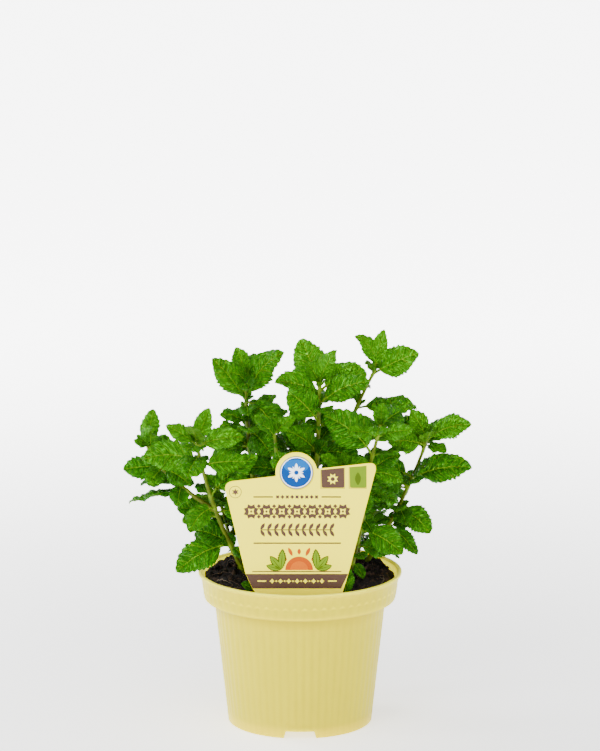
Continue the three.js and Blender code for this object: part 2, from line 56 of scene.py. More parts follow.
# Sizes of the pot, as in its solid
POT_HEIGHT = 91
LIP = {"radius": 60, "overhang": 1.6, "high": 1.6, "bevel": 0.7, "round": 0.75}
BAND = {"high": 16.5, "flare": 2.1, "round": 0.9}
LEDGE = 5.8
FOOT = {"radius": 42.4, "high": 4.8, "wide": 1.9}
WALL = 1.4
NOTCH = {"wide": 19.3, "top": 17, "high": 4.3, "angles": (-90, 30, 150)}
DRAIN = {"radius": 4, "ring": 24, "count": 6}
BAND_TOP = POT_HEIGHT - LIP["high"] - LIP["bevel"]
LEDGE_Z = POT_HEIGHT - BAND["high"]
BAND_TOP_RADIUS = LIP["radius"] - LIP["overhang"]
BAND_LOW_RADIUS = BAND_TOP_RADIUS - BAND["flare"]
WALL_TOP_RADIUS = BAND_LOW_RADIUS - LEDGE

SOIL = {"top": 87, "mound": 2.2, "floor": 6.5, "gap": 0.3}

# The label: its plate, the right half of its tongue up from the lowest edge, and the round lobe on its top
LABEL = {"front": -45.0, "thick": 0.8, "centre": -1.7, "low": 50, "round": 0.12, "ink": 0.03}
LABEL_TONGUE = [(3, 0), (6.5, 2), (9, 7), (15, 25.5), (25.8, 37)]
LABEL_LOBE = {"x": -0.4, "z": 160.2, "radius": 12, "from": 10, "to": 190}

# Stems and leaves: half a stem's side, and a leaf's stalk, width and fold as shares of its length or width
STEM = {"foot": 1.75, "taper": 0.85, "least": 0.62, "gain": 0.4, "tall": 120, "root": 24}
LEAF = {"stalk": 0.16, "wide": 0.29, "fold": 0.16}
VEINS = {"count": 7.0, "slant": 0.24}
# A fine blade: how far teeth and lobes go in and out of its edge, how much teeth differ, how far they are
# turned from one side to the other and lean forward; how it arches, droops, waves and twists; how its bulges,
# its veins, the groove on top of the midrib and the rib below it stand out
BLADE = {
    "teeth": 0.14, "lobes": 0.10, "differ": (0.35, 1.5), "apart": 0.44, "forward": 0.09, "broaden": 1.04,
    "arch": 0.34, "droop": 0.13, "wave": 0.19, "twist": 0.28,
    "bulges": 0.8, "small_bulges": 0.3, "veins": 0.9, "groove": 0.30, "rib": 0.42,
}
# Fine leaves by how far they reach from the stem: from, to, and teeth to a side
LEAF_SORTS = ((24, np.inf, 10), (17, 24, 7), (0, 17, 6))
LESSER_LEAF = {"teeth": 7, "wide": 1.1, "young": 0.15, "back": 14}
# Young leaves in the axils of larger ones and in the bud of four at a stem's tip, each as forward and length
AXIL = {"teeth": 4, "least": 17, "highest": 0.93, "missing": 0.25, "long": (5.5, 9.5), "young": 0.75}
BUD = {"at": 0.99, "back": 20, "leaves": ((0.9, 8.5), (0.9, 8.5), (1.3, 5.5), (1.3, 5.5))}
HAIR = {"half": 0.035, "long": (0.6, 1.0), "lean": 0.35}
# How far leaves keep from other shoots' leaves and stems and from their own shoot's leaves, and the degrees
# that they are turned and lifted for it
CLEAR = {"leaf": 3.0, "stem": 3.6, "own": 2.2}
TURNS = [0, 14, -14, 28, -28, 42, -42, 56, -56]
LIFTS = [0, 12, -12]
# Where no leaf may lie: about the label's plate, about the pot's rim, and on the soil
NO_LEAF = {"label_half": 47, "label_off": 2.5, "label_top": 176, "rim": (53, 62), "rim_over": 2.5, "soil": 57}
TO_VIEWER = -90

# Leafy stems in the order in which they grow: shoot, foot, tip, share of the sideways run covered halfway up,
# and leaves. A second stem of a shoot is a side branch, with its place on the first as a share for its foot.
# A leaf is: share of the stem, tip right, back and up from there, degrees that its face leans to the viewer,
# degrees of droop from stalk to tip, and width against the usual one.
SHOOTS = [
    ("stem_tall_left", (-15, 8, 87), (-31.5, 2, 209), 1.05, [
        (0.97, -6, 5, 18, 60, 20, 1.1), (0.97, 4, -5, 10, 20, 30, 1), (0.86, -20, 3, 25, 75, 20, 0.9),
        (0.86, 22, -3, 30, 60, 55, 0.85), (0.86, 19, -20, -15, 50, 50, 1.05), (0.8, -10, 20, -4, 30, 40, 1),
        (0.76, -16, -5, 5, 40, 40, 1.2), (0.76, 24, 8, 4, 30, 40, 1), (0.72, 14, -22, -11, 80, 40, 1.2),
        (0.64, -21, -8, 8, 60, 40, 1.1), (0.62, -6, 22, 5, 20, 40, 1), (0.5, -16, 6, 2, 30, 40, 1),
    ]),
    ("stem_tall_centre", (6, -8, 87), (11.5, -10, 206), 0.8, [
        (0.98, -8, 3, 14, 50, 30, 1), (0.98, 8, 6, 22, 50, 30, 0.8), (0.96, -7, 8, 31, 80, 15, 1.15),
        (0.97, 2, -10, 6, 30, 40, 1), (0.95, 28, 6, 9, 60, 60, 1), (0.89, 29, -8, 15, 60, 40, 0.95),
        (0.905, -31, -4, 15, 60, 55, 0.85), (0.86, 5, -24, 3, 35, 30, 0.9), (0.8, -18, -14, 21, 85, 20, 1.25),
        (0.76, 14, 14, 8, 60, 40, 1), (0.64, -19, -10, 16, 70, 40, 1), (0.64, 24, -10, -3, 50, 60, 1.1),
        (0.62, 5, -12, 12, 60, 20, 1.2), (0.5, 16, 12, 4, 30, 40, 1),
    ]),
    ("stem_tall_right", (12, 14, 87), (44.5, 6, 211), 0.02, [
        (0.99, -12, 2, 20, 50, 90, 0.8), (0.99, 2, 5, 24, 75, 10, 0.75), (0.97, 27, 2, 12, 65, 20, 1.15),
        (0.97, -3, -8, 10, 20, 20, 1), (0.8, 36, 3, 0, 10, 30, 1), (0.82, -14, 6, 20, 80, 20, 1.2),
        (0.66, 18, 8, -3, 50, 50, 1), (0.66, -16, -4, 4, 50, 40, 1), (0.5, 20, 14, 2, 30, 40, 1),
    ]),
    ("stem_far_right", (37, 17, 87), (75, 4, 170), 0.65, [
        (0.98, 26, -2, 10, 55, 45, 1), (0.98, -9, 4, 18, 70, 20, 1.1), (0.94, -22, -6, 3, 60, 40, 1.3),
        (0.94, 12, -14, -1, 30, 30, 0.9), (0.9, -4, 18, 10, 40, 30, 1), (0.7, 35, -4, 7, 60, 35, 0.95),
        (0.7, -26, -4, 12, 40, 20, 1.1), (0.62, -22, -3, -2, 60, 40, 1.1), (0.62, 10, 24, 4, 30, 40, 1),
        (0.47, 19, -6, -14, 60, 40, 1.2), (0.47, -16, -8, 5, 30, 30, 1), (0.34, 17, -4, -17, 60, 20, 0.8),
        (0.34, 7, -2, 8, 60, 60, 1), (0.16, 12, 0, 2, 60, 40, 1),
    ]),
    ("stem_inner_right", (22, -2, 87), (46.5, -34, 186), 0.55, [
        (0.97, 2, 3, 15, 60, 20, 1.1), (0.97, -2, -24, 2, 40, 30, 1), (0.92, -18, -4, 4, 40, 40, 1.1),
        (0.92, 20, -4, 5, 40, 30, 1), (0.8, -29, -6, 22, 75, 45, 1.1), (0.8, 22, -2, 4, 10, 20, 0.8),
        (0.6, 16, 8, 4, 30, 40, 1),
    ]),
    ("stem_left", (-30, -6, 87), (-59.5, -40, 177), 0.75, [
        (0.98, -18, 2, 11, 60, 20, 0.9), (0.98, 7, 4, 21, 75, 10, 0.9), (0.97, 27, -3, 5, 60, 30, 0.9),
        (0.9, -6, -33.5, -4, 20, 30, 1), (0.84, -34, -4, 4, 70, 60, 0.95), (0.84, 26, 4, 1, 75, 20, 1.1),
        (0.62, 27, -4, 24, 40, 30, 0.9), (0.62, -8, 16, 4, 20, 30, 1), (0.54, -14, -12, -12, 75, 70, 1.2),
        (0.27, -20, -3, 9, 60, 30, 1.3), (0.27, -31, -8, -15, 70, 40, 1), (0.25, 8, -8, -6, 60, 40, 1),
        (0.22, -5, -6, 12, 70, 20, 1.1), (0.1, 6, -8, 4, 60, 60, 0.9),
    ]),
    ("stem_left", 0.52, (-88.5, -22, 170.5), 0.8, [
        (0.98, 3, 4, 22, 80, 10, 1), (0.98, -8, -3, 5, 50, 20, 1.1), (0.8, -3, -14, 5, 40, 30, 1),
        (0.66, -22, -4, 0, 65, 20, 1.3), (0.66, 17, -10, -8, 70, 30, 1.2), (0.3, -34, 2, -7, 0, 20, 1),
        (0.36, -2, -16, -8, 75, 60, 1.2),
    ]),
    ("stem_inner_left", (-6, -16, 87), (-15, -24, 180), 0.5, [
        (0.98, -12, 4, 10, 50, 30, 1), (0.98, 12, 2, 10, 50, 30, 1), (0.88, 4, -15, -10, 80, 30, 1.2),
        (0.74, -20, -4, 2, 50, 40, 1), (0.74, 20, -4, 2, 50, 40, 1), (0.6, 4, -14, -4, 40, 40, 1),
    ]),
    ("stem_behind_label", (14, -22, 87), (24, -28, 160), 0.5, [
        (0.98, -12, -2, 8, 50, 30, 1), (0.98, 16, -4, 4, 50, 40, 1), (0.8, -20, -4, 4, 60, 40, 1),
        (0.8, 20, 4, 2, 60, 40, 1),
    ]),
    ("stem_low_right", (27, -20, 87), (38, -24, 132), 0.6, [
        (0.9, 2, -4, 18, 70, 20, 1), (0.75, 24, -6, -13, 65, 40, 1.1), (0.6, -10, 8, 4, 30, 30, 1),
        (0.3, 6, -6, -8, 60, 60, 1),
    ]),
]

# Rear stems fan out over the back half, one short and outer, the next tall and inner.
REAR = {
    "count": 7, "first": 30, "last": 168, "seed": 4711, "lean": 0.6, "back": 2,
    "foot": (36, 24), "reach": (50, 35), "height": (138, 168),
    "nodes": ((0.98, 0.8, 0.58, 0.34), (0.98, 0.84, 0.68, 0.5, 0.32)),
    "sizes": (15, 25, 30, 28, 22), "rises": (55, 30, 15, 5, 0), "face": 30,
}

# Lesser leaves that the solids leave out, stem by stem of each shoot: share of the stem, tip right, back and
# up from there, degrees that the face leans out, and degrees of droop. A seeded search in a scratch program
# found these rows: it tried random leaves, and kept those clear of others and within the plant's outline in
# the photo.
LESSER = {
    "stem_behind_label": [[
        (0.66, -15, 10, 8, 50, 50), (0.59, 12, -8, 3, 60, 40), (0.53, 3, 11, 2, 60, 50),
        (0.47, -13, -3, 2, 70, 20), (0.25, -3, -12, 4, 30, 30),
    ]],
    "stem_far_right": [[
        (0.95, 8, 16, -5, 30, 30), (0.95, 2, -15, 11, 40, 20), (0.94, -17, 13, 13, 70, 40),
        (0.93, 14, 15, 11, 40, 50), (0.71, 19, 11, 4, 50, 30), (0.7, 10, -17, 12, 40, 30),
        (0.64, 0, -19, 5, 20, 50), (0.62, -19, -7, 10, 50, 50), (0.48, 4, -19, -6, 70, 30),
        (0.47, -1, -20, 3, 20, 40), (0.39, -12, -10, -1, 40, 40), (0.38, 4, 16, -6, 30, 40),
        (0.32, 21, 0, 4, 20, 30), (0.22, 16, 13, -3, 30, 40), (0.18, 13, -15, -4, 20, 50),
        (0.17, 4, 18, -5, 60, 50),
    ]],
    "stem_inner_left": [[
        (0.94, -10, -14, 13, 50, 50), (0.74, 15, 8, -3, 40, 30), (0.6, -3, 22, 7, 50, 30),
        (0.55, 8, 17, -1, 20, 50), (0.44, 9, 13, 0, 30, 40), (0.43, 9, -9, 0, 60, 40),
        (0.38, -8, -15, 6, 20, 60), (0.37, -13, -1, -3, 40, 30), (0.34, 2, 15, -4, 70, 30),
    ]],
    "stem_inner_right": [[
        (0.96, 14, 20, 7, 60, 50), (0.87, 6, 24, 5, 60, 30), (0.71, 9, 19, 8, 20, 40),
        (0.69, 20, -1, -5, 70, 50), (0.69, 19, -1, 11, 50, 40), (0.54, 22, 7, -6, 30, 50),
        (0.53, -1, 14, 12, 30, 50), (0.49, -18, 10, -1, 20, 60), (0.46, 15, 5, -2, 20, 30),
        (0.25, 15, 6, 13, 70, 40),
    ]],
    "stem_left": [[
        (0.97, -3, -15, 15, 30, 40), (0.95, -6, -22, 4, 30, 40), (0.94, -1, 22, -1, 30, 40),
        (0.83, -2, 19, 1, 70, 30), (0.53, 5, 22, -2, 30, 30), (0.51, -23, 3, 1, 60, 20),
        (0.5, 25, 4, -2, 60, 40), (0.47, -21, 3, -4, 70, 40), (0.23, -23, 11, 6, 60, 50),
    ], [
        (0.91, 1, -13, 16, 60, 60), (0.83, 9, 13, 9, 70, 40), (0.7, -1, 21, 12, 60, 30),
        (0.66, -3, 17, -1, 60, 30), (0.64, -7, -17, -6, 80, 40), (0.52, 14, 15, -7, 40, 30),
        (0.4, 7, 15, 6, 60, 30), (0.39, -23, 4, -1, 20, 60),
    ]],
    "stem_low_right": [[
        (0.89, 5, -12, -5, 70, 30), (0.52, 19, 8, -6, 50, 30), (0.42, 5, -14, 1, 20, 30),
    ]],
    "stem_rear_1": [[
        (0.94, 10, 15, 2, 30, 50), (0.93, 17, 2, 4, 20, 50), (0.8, -12, -7, 3, 50, 40),
        (0.61, -5, 17, 5, 60, 30), (0.5, 12, 18, 3, 30, 30), (0.37, 9, -13, 19, 30, 40),
        (0.23, 16, 18, 6, 40, 50), (0.14, 3, -14, 4, 30, 20),
    ]],
    "stem_rear_2": [[
        (0.92, 8, 18, -5, 20, 40), (0.83, -7, 17, 4, 40, 40), (0.76, 8, 15, 7, 30, 20),
        (0.73, -12, -10, -5, 30, 60), (0.68, -1, 16, 7, 50, 40), (0.55, 10, 9, 8, 20, 30),
        (0.42, -17, -12, -8, 40, 50), (0.39, -19, -7, 5, 50, 40), (0.37, 16, 7, 4, 50, 40),
        (0.23, -8, 12, -1, 20, 50),
    ]],
    "stem_rear_3": [[
        (0.87, 10, 16, 1, 70, 60), (0.81, -11, 18, 0, 50, 40), (0.75, 18, 5, 1, 50, 50),
        (0.61, -17, 10, 4, 30, 30), (0.56, 8, -9, 2, 50, 60), (0.5, 17, 13, 5, 50, 30),
        (0.41, -13, 17, 4, 40, 30), (0.28, 16, 1, 0, 20, 30), (0.28, 0, 19, -2, 50, 40),
    ]],
    "stem_rear_4": [[
        (0.94, 6, 15, 16, 70, 30), (0.92, -22, 0, 5, 20, 40), (0.9, 6, -14, 15, 50, 50),
        (0.86, 15, 4, 8, 20, 30), (0.86, -16, 4, -2, 60, 30), (0.84, -2, 23, -5, 20, 40),
        (0.8, 0, -21, 9, 20, 30), (0.73, 5, -12, 3, 70, 50), (0.61, -13, 15, 10, 60, 30),
        (0.57, 15, 3, 2, 70, 30), (0.4, 20, 9, -6, 30, 30), (0.33, 2, 12, 12, 40, 40),
        (0.33, -4, -12, -5, 20, 20), (0.23, -12, 2, -2, 60, 50), (0.21, 11, -3, 2, 50, 30),
    ]],
    "stem_rear_5": [[
        (0.96, 10, 4, 8, 20, 30), (0.95, -22, -3, -2, 50, 20), (0.92, -17, 8, 4, 50, 40),
        (0.91, -7, 18, 8, 20, 40), (0.9, 16, -6, -2, 20, 50), (0.79, 16, -5, -5, 20, 40),
        (0.7, -17, -4, 5, 70, 30), (0.65, -21, 1, -7, 20, 50), (0.58, -5, 21, -8, 30, 60),
        (0.55, 12, -11, 10, 30, 20), (0.44, -20, 5, -9, 30, 50), (0.43, 9, 18, 9, 60, 30),
        (0.32, -14, 16, 2, 80, 60),
    ]],
    "stem_rear_6": [[
        (0.96, -14, 8, 4, 40, 40), (0.93, 5, 17, 12, 20, 30), (0.88, -14, -3, -4, 40, 20),
        (0.87, 17, 2, 15, 40, 50), (0.85, 19, -11, 0, 30, 50), (0.8, -6, 20, 0, 20, 40),
        (0.73, 11, -4, 9, 70, 50), (0.69, 17, 0, 1, 40, 30), (0.55, 2, -14, -1, 30, 30),
        (0.47, -3, 17, -2, 60, 60), (0.38, 9, 10, 7, 30, 40), (0.35, 13, -12, -7, 40, 20),
        (0.35, 10, -11, 10, 20, 30),
    ]],
    "stem_rear_7": [[
        (0.87, 6, -16, 1, 60, 40), (0.81, 3, 15, 0, 30, 50), (0.81, -21, -9, -1, 70, 50),
        (0.61, -16, -13, -7, 50, 40), (0.54, 1, 21, -3, 60, 40), (0.34, -19, 8, 5, 20, 40),
        (0.23, 0, -14, 4, 20, 30),
    ]],
    "stem_tall_centre": [[
        (0.9, -19, 4, 5, 40, 40), (0.88, 4, 21, 2, 70, 50), (0.82, -8, 19, 0, 60, 40),
        (0.82, -15, 14, 1, 40, 60), (0.77, -8, -17, 1, 20, 50), (0.73, -7, 12, 7, 70, 20),
        (0.68, 9, 14, 10, 50, 20), (0.64, -19, -3, 9, 60, 20), (0.57, -7, 16, 5, 60, 30),
        (0.55, 7, 16, 16, 30, 60), (0.41, -14, 3, 12, 20, 40), (0.3, 16, 7, 2, 40, 30),
        (0.27, -1, -13, -2, 20, 20),
    ]],
    "stem_tall_left": [[
        (0.95, -10, -16, 10, 60, 40), (0.94, 5, 14, 16, 50, 40), (0.94, 2, -17, 1, 80, 50),
        (0.92, -2, 21, -3, 30, 50), (0.86, 3, -10, 4, 50, 20), (0.85, -5, 11, 16, 40, 50),
        (0.83, 1, -20, 0, 70, 40), (0.75, 17, 6, 16, 30, 40), (0.75, 1, -9, 7, 80, 40),
        (0.72, -17, -12, 2, 40, 20), (0.71, 1, -25, 5, 60, 40), (0.66, 22, -6, -3, 40, 40),
        (0.64, -22, 0, -6, 60, 20), (0.55, -18, 3, 1, 30, 30), (0.54, 9, 9, 2, 80, 40),
        (0.53, 18, -7, 2, 30, 30), (0.51, -5, -15, 9, 20, 30), (0.46, -20, 9, 3, 20, 30),
        (0.45, 19, 5, 2, 60, 30), (0.38, -8, -18, 9, 50, 30), (0.34, 8, -15, 2, 60, 30),
        (0.31, 12, -6, 3, 50, 30), (0.19, -10, -15, 4, 40, 50),
    ]],
    "stem_tall_right": [[
        (0.9, -9, -8, 2, 30, 40), (0.89, -4, 18, -6, 30, 40), (0.88, -7, 19, 8, 20, 30),
        (0.72, 18, -3, -1, 40, 30), (0.72, 14, -14, -1, 80, 50), (0.72, 1, 16, 4, 80, 40),
        (0.66, 6, -18, 11, 60, 30), (0.63, 11, 10, 0, 40, 60), (0.54, 9, -13, 12, 80, 30),
        (0.54, -20, 1, -4, 20, 30), (0.53, 6, 10, 14, 50, 40), (0.46, 17, -14, -6, 30, 40),
        (0.44, 6, 17, 6, 70, 60), (0.37, 17, 0, 7, 20, 50), (0.37, -16, -11, 10, 70, 50),
        (0.28, 1, -13, -5, 50, 20), (0.18, -15, -9, 11, 60, 60),
    ]],
}

# Leaves that come straight out of the soil: shoot, foot, then tip right, back and up, face and droop
SPROUTS = [
    ("stem_left", (-27, -40, 87.5), (-7, -3, 6, 50, 60)),
    ("stem_low_right", (26, -43, 87), (5, -2, 11, 60, 50)),
    ("stem_low_right", (26.5, -42, 87), (2.5, 2, 15, 80, 30)),
]

# Corners of a fine leaf: where each tooth has rows, and columns from edge to edge in shares of the half width
TOOTH_ROWS = np.array([0.0, 0.28, 0.5, 0.72])
STALK_ROWS = np.array([-0.19, -0.13, -0.075, -0.03])


def both_sides(*shares):
    """Columns at the shares on both sides of the midrib, and one on it."""
    return np.array([-share for share in shares[::-1]] + [0, *shares])


LEAF_COLUMNS = both_sides(0.05, 0.16, 0.32, 0.5, 0.68, 0.84, 0.95, 1)
SMALL_COLUMNS = both_sides(0.1, 0.35, 0.65, 0.9, 1)
YOUNG_COLUMNS = both_sides(0.12, 0.45, 0.8, 1)

# Soft lights: setting with the power, width, height, azimuth, elevation, and distance from the target
LIGHTS = {
    "overhead_light": ("overhead", 1.5, 1.5, 0, 68, 2.3),
    "key_light": ("key", 0.8, 0.8, -32, 36, 1.8),
    "strip_light": ("strip", 0.11, 1.1, -77, 6, 1.3),
    "fill_light": ("key", 1.0, 0.7, 22, 12, 2.0),
    "rim_light": ("rim", 0.6, 0.5, -118, 40, 1.5),
}
LIGHT_TARGET = np.array([0.0, 0.0, 0.12])
CAMERA = {"lens": 186.8, "sensor": 36.0, "far": 2.3, "elevation": 14.6, "pitch": 11.75, "clip": 50.0}
FLOOR_HALF = 12.0


# Settings that a user would change

def colour(name, description, value):
    """A colour in linear light."""
    return bpy.props.FloatVectorProperty(
        name=name, description=description, default=value, subtype="COLOR", size=3, min=0, max=1)


def whole(name, description, value, least=0):
    """A number of things."""
    return bpy.props.IntProperty(name=name, description=description, default=value, min=least)


def amount(name, description, value, **kind):
    """A number with decimals."""
    return bpy.props.FloatProperty(name=name, description=description, default=value, min=0, **kind)


def distance(name, description, value):
    """A length in metres."""
    return amount(name, description, value, subtype="DISTANCE", unit="LENGTH")


def watts(name, description, value):
    """The power of a light."""
    return amount(name, description, value, subtype="POWER", unit="POWER")


class PotSettings(bpy.types.PropertyGroup):
    flutes: whole("Flutes", "Shallow upright flutes around the wall", 64)
    flute_depth: distance("Flute depth", "Half the height of a flute", 0.00013)
    columns: whole("Columns", "Corners around the wall", 384, 72)
    wall: colour("Wall", "Colour of the moulded plastic", (0.72, 0.575, 0.002))
    # Painted light: the inner wall above the soil gets a lighter colour and a glow of its own
    inner_wall_painted_light: colour("Inner wall", "Colour of the wall above the soil", (1.0, 0.84, 0.01))
    painted_glow: amount("Shine-through", "Light that comes through the thin wall above the soil", 0.65)
    # Painted highlight: a paler line along the lip's crest
    lip_painted_highlight: colour("Lip crest", "Colour of the lip's thin, worn crest", (1.0, 0.88, 0.06))
    roughness: amount("Roughness", "Gloss of the wall, 0 for a mirror", 0.38, max=1, subtype="FACTOR")


class SoilSettings(bpy.types.PropertyGroup):
    peat: colour("Peat", "Colour of the dark peat", (0.0085, 0.0068, 0.0062))
    bark: colour("Bark", "Colour of the brown crumbs", (0.060, 0.034, 0.020))
    fibre: colour("Fibre", "Colour of the pale root fibres", (0.33, 0.25, 0.17))
    roughness_height: distance("Crumb height", "How far crumbs stand out of the surface", 0.0027)
    crumbs: whole("Crumbs", "Loose crumbs on the surface", 1200)
    fibres: whole("Fibres", "Root fibres on the surface", 80)


class LabelSettings(bpy.types.PropertyGroup):
    card: colour("Card", "Colour of the bare label", (0.90, 0.79, 0.006))
    brown: colour("Brown ink", "Colour of the frieze and the band", (0.066, 0.036, 0.024))
    blue: colour("Blue ink", "Colour of the rosette's disc", (0.0, 0.040, 0.19))
    green: colour("Green ink", "Colour of the green tab and the sprigs", (0.115, 0.20, 0.001))
    orange: colour("Orange ink", "Colour of the half sun", (0.40, 0.064, 0.0))
    inner_orange: colour("Light orange ink", "Colour of the half sun's core", (0.50, 0.105, 0.0))


class MintSettings(bpy.types.PropertyGroup):
    light_green: colour("Light green", "Colour of a sunlit, young leaf", (0.082, 0.352, 0.001))
    deep_green: colour("Deep green", "Colour of an old leaf", (0.017, 0.138, 0.0003))
    vein: colour("Vein", "Colour of midribs, veins and leaf stalks", (0.18, 0.34, 0.010))
    stem: colour("Stem", "Colour of a young stem", (0.085, 0.140, 0.003))
    woody: colour("Woody stem", "Colour of an old stem", (0.062, 0.050, 0.006))
    rugosity: distance("Rugosity", "How far the blade bulges between its veins", 0.0014)
    hairs: whole("Hairs", "Fine hairs on each stem", 260)


class StudioSettings(bpy.types.PropertyGroup):
    floor: colour("Floor", "Colour of the plain floor", (0.95, 0.95, 0.95))
    glow: amount("Floor glow", "Light that the floor gives off by itself", 1.6)
    overhead: watts("Overhead light", "Power of the wide soft light above", 30)
    key: watts("Key light", "Power of the soft light in front", 17)
    strip: watts("Strip light", "Power of the narrow light at the left", 13)
    rim: watts("Rim light", "Power of the light behind the plant at the left", 17)
    sky: amount("Sky", "Strength of the even light from all sides", 0.38)


# Surfaces and noise

def unit(v):
    """Vectors divided by their length, along the last axis."""
    return v / np.linalg.norm(v, axis=-1, keepdims=True)


def smooth(low, high, x):
    """A soft step from 0 at low to 1 at high: 3t^2 - 2t^3 of the share t."""
    t = np.clip((x - low) / (high - low), 0, 1)
    return t * t * (3 - 2 * t)


def full_turn(count):
    """Angles of a full turn in even steps."""
    return np.linspace(0, 2 * np.pi, count, endpoint=False)


def flat_arc(x, y, radius, start, end, count):
    """Points of a round in the flat, from start to end degrees."""
    turn = np.radians(np.linspace(start, end, count))
    return np.column_stack([x + radius * np.cos(turn), y + radius * np.sin(turn)])


def circle_points(x, y, radius, count):
    """Corners of a circle in the flat."""
    turn = full_turn(count)
    return np.column_stack([x + radius * np.cos(turn), y + radius * np.sin(turn)])


def noise(points, cell, seed=0):
    """Smooth noise from -1 to 1: a scrambled number at each corner of a lattice of that cell, blended between
    the eight corners around a point with the soft step of its share."""
    place = np.asarray(points, float) / cell
    base = np.floor(place).astype(np.int64)
    share = smooth(0, 1, place - base)
    total = 0.0
    for corner in np.ndindex(2, 2, 2):
        c = base + np.array(corner)
        mixed = (c[..., 0] * 73856093) ^ (c[..., 1] * 19349663) ^ (c[..., 2] * 83492791) ^ (seed * 2654435)
        mixed = ((mixed ^ (mixed >> 13)) * 1274126177) & 0x7FFFFFFF
        mixed = (mixed ^ (mixed >> 15)) & 0xFFFF
        weight = np.prod(np.where(corner, share, 1 - share), axis=-1)
        total = total + weight * (mixed / 32767.5 - 1)
    return total


def grid_faces(rows, columns, round_rows=False, round_columns=False):
    """Quads of a grid of corners, row by row, joined end to start where round."""
    i, j = np.arange(rows if round_rows else rows - 1), np.arange(columns if round_columns else columns - 1)
    i, j = np.meshgrid(i, j, indexing="ij")
    j2, row, next_row = (j + 1) % columns, i * columns, (i + 1) % rows * columns
    return np.stack([row + j, row + j2, next_row + j2, next_row + j], -1).reshape(-1, 4)


def fan_faces(ring, centre, flip=False):
    """Triangles from one corner to a closed ring of corners."""
    ring = np.asarray(ring)
    faces = np.stack([ring, np.roll(ring, -1), np.full(len(ring), centre)], -1)
    return faces[:, ::-1] if flip else faces


def copied_faces(faces, count, corners):
    """The faces of one part, again for each of many parts that have that many corners each."""
    return (faces[None] + corners * np.arange(count)[:, None, None]).reshape(-1, faces.shape[1])


def tube_rings(line, across, back, radius):
    """Rings of corners around a line: centre + radius (across cos a + back sin a)."""
    a = full_turn(radius.shape[-1])
    ring = across[..., None, :] * np.cos(a)[:, None] + back[..., None, :] * np.sin(a)[:, None]
    return line[..., None, :] + radius[..., None] * ring


def volume_of(points, faces):
    """Signed volume inside the faces: a sixth of the sum of a . (b x c) over each face's triangles."""
    total = 0.0
    for group in faces:
        for k in range(1, group.shape[1] - 1):
            a, b, c = points[group[:, 0]], points[group[:, k]], points[group[:, k + 1]]
            total += np.einsum("ij,ij->", a, np.cross(b, c)) / 6
    return total


def attach(name, mesh, nodes=()):
    """A mesh as a piece that rides on the root and stands for the nodes."""
    piece = bpy.data.objects.new(name, mesh)
    bpy.context.collection.objects.link(piece)
    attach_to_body(piece, "root")
    if nodes:
        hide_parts(*nodes)


def add_piece(name, points, faces, materials, slot, nodes=(), uv=None, tones=None, material_of=None,
              flat=False):
    """A piece from corners in millimetres and groups of faces with as many corners each. A closed surface
    whose signed volume is negative is turned right side out."""
    points = np.asarray(points, float).reshape(-1, 3)
    groups = [np.asarray(group, np.int64) for group in faces]
    if volume_of(points, groups) < 0:
        groups = [group[:, ::-1] for group in groups]
    corners = np.concatenate([group.ravel() for group in groups])
    sizes = np.concatenate([np.full(len(group), group.shape[1]) for group in groups])
    mesh = bpy.data.meshes.new(name)
    mesh.vertices.add(len(points))
    mesh.vertices.foreach_set("co", (points * MM).ravel())
    mesh.loops.add(len(corners))
    mesh.loops.foreach_set("vertex_index", corners)
    mesh.polygons.add(len(sizes))
    mesh.polygons.foreach_set("loop_start", np.concatenate([[0], np.cumsum(sizes)[:-1]]))
    mesh.polygons.foreach_set("use_smooth", np.full(len(sizes), not flat))
    for material in materials:
        mesh.materials.append(material)
    if material_of is not None:
        mesh.polygons.foreach_set("material_index", np.asarray(material_of, np.int32))
    if uv is not None:
        mesh.uv_layers.new(name="blade").data.foreach_set("uv", uv[corners].ravel())
    if tones is not None:
        layer = mesh.attributes.new("tone", "FLOAT_COLOR", "POINT")
        layer.data.foreach_set("color", np.column_stack([tones, np.ones(len(points))]).ravel())
    mesh.update(calc_edges=True)
    mesh.validate()
    attach(name, mesh, nodes)


# Materials

def rgba(value, gain=1.0):
    """A colour with full alpha, made lighter or darker by a gain."""
    return (*[min(1.0, c * gain) for c in value], 1.0)


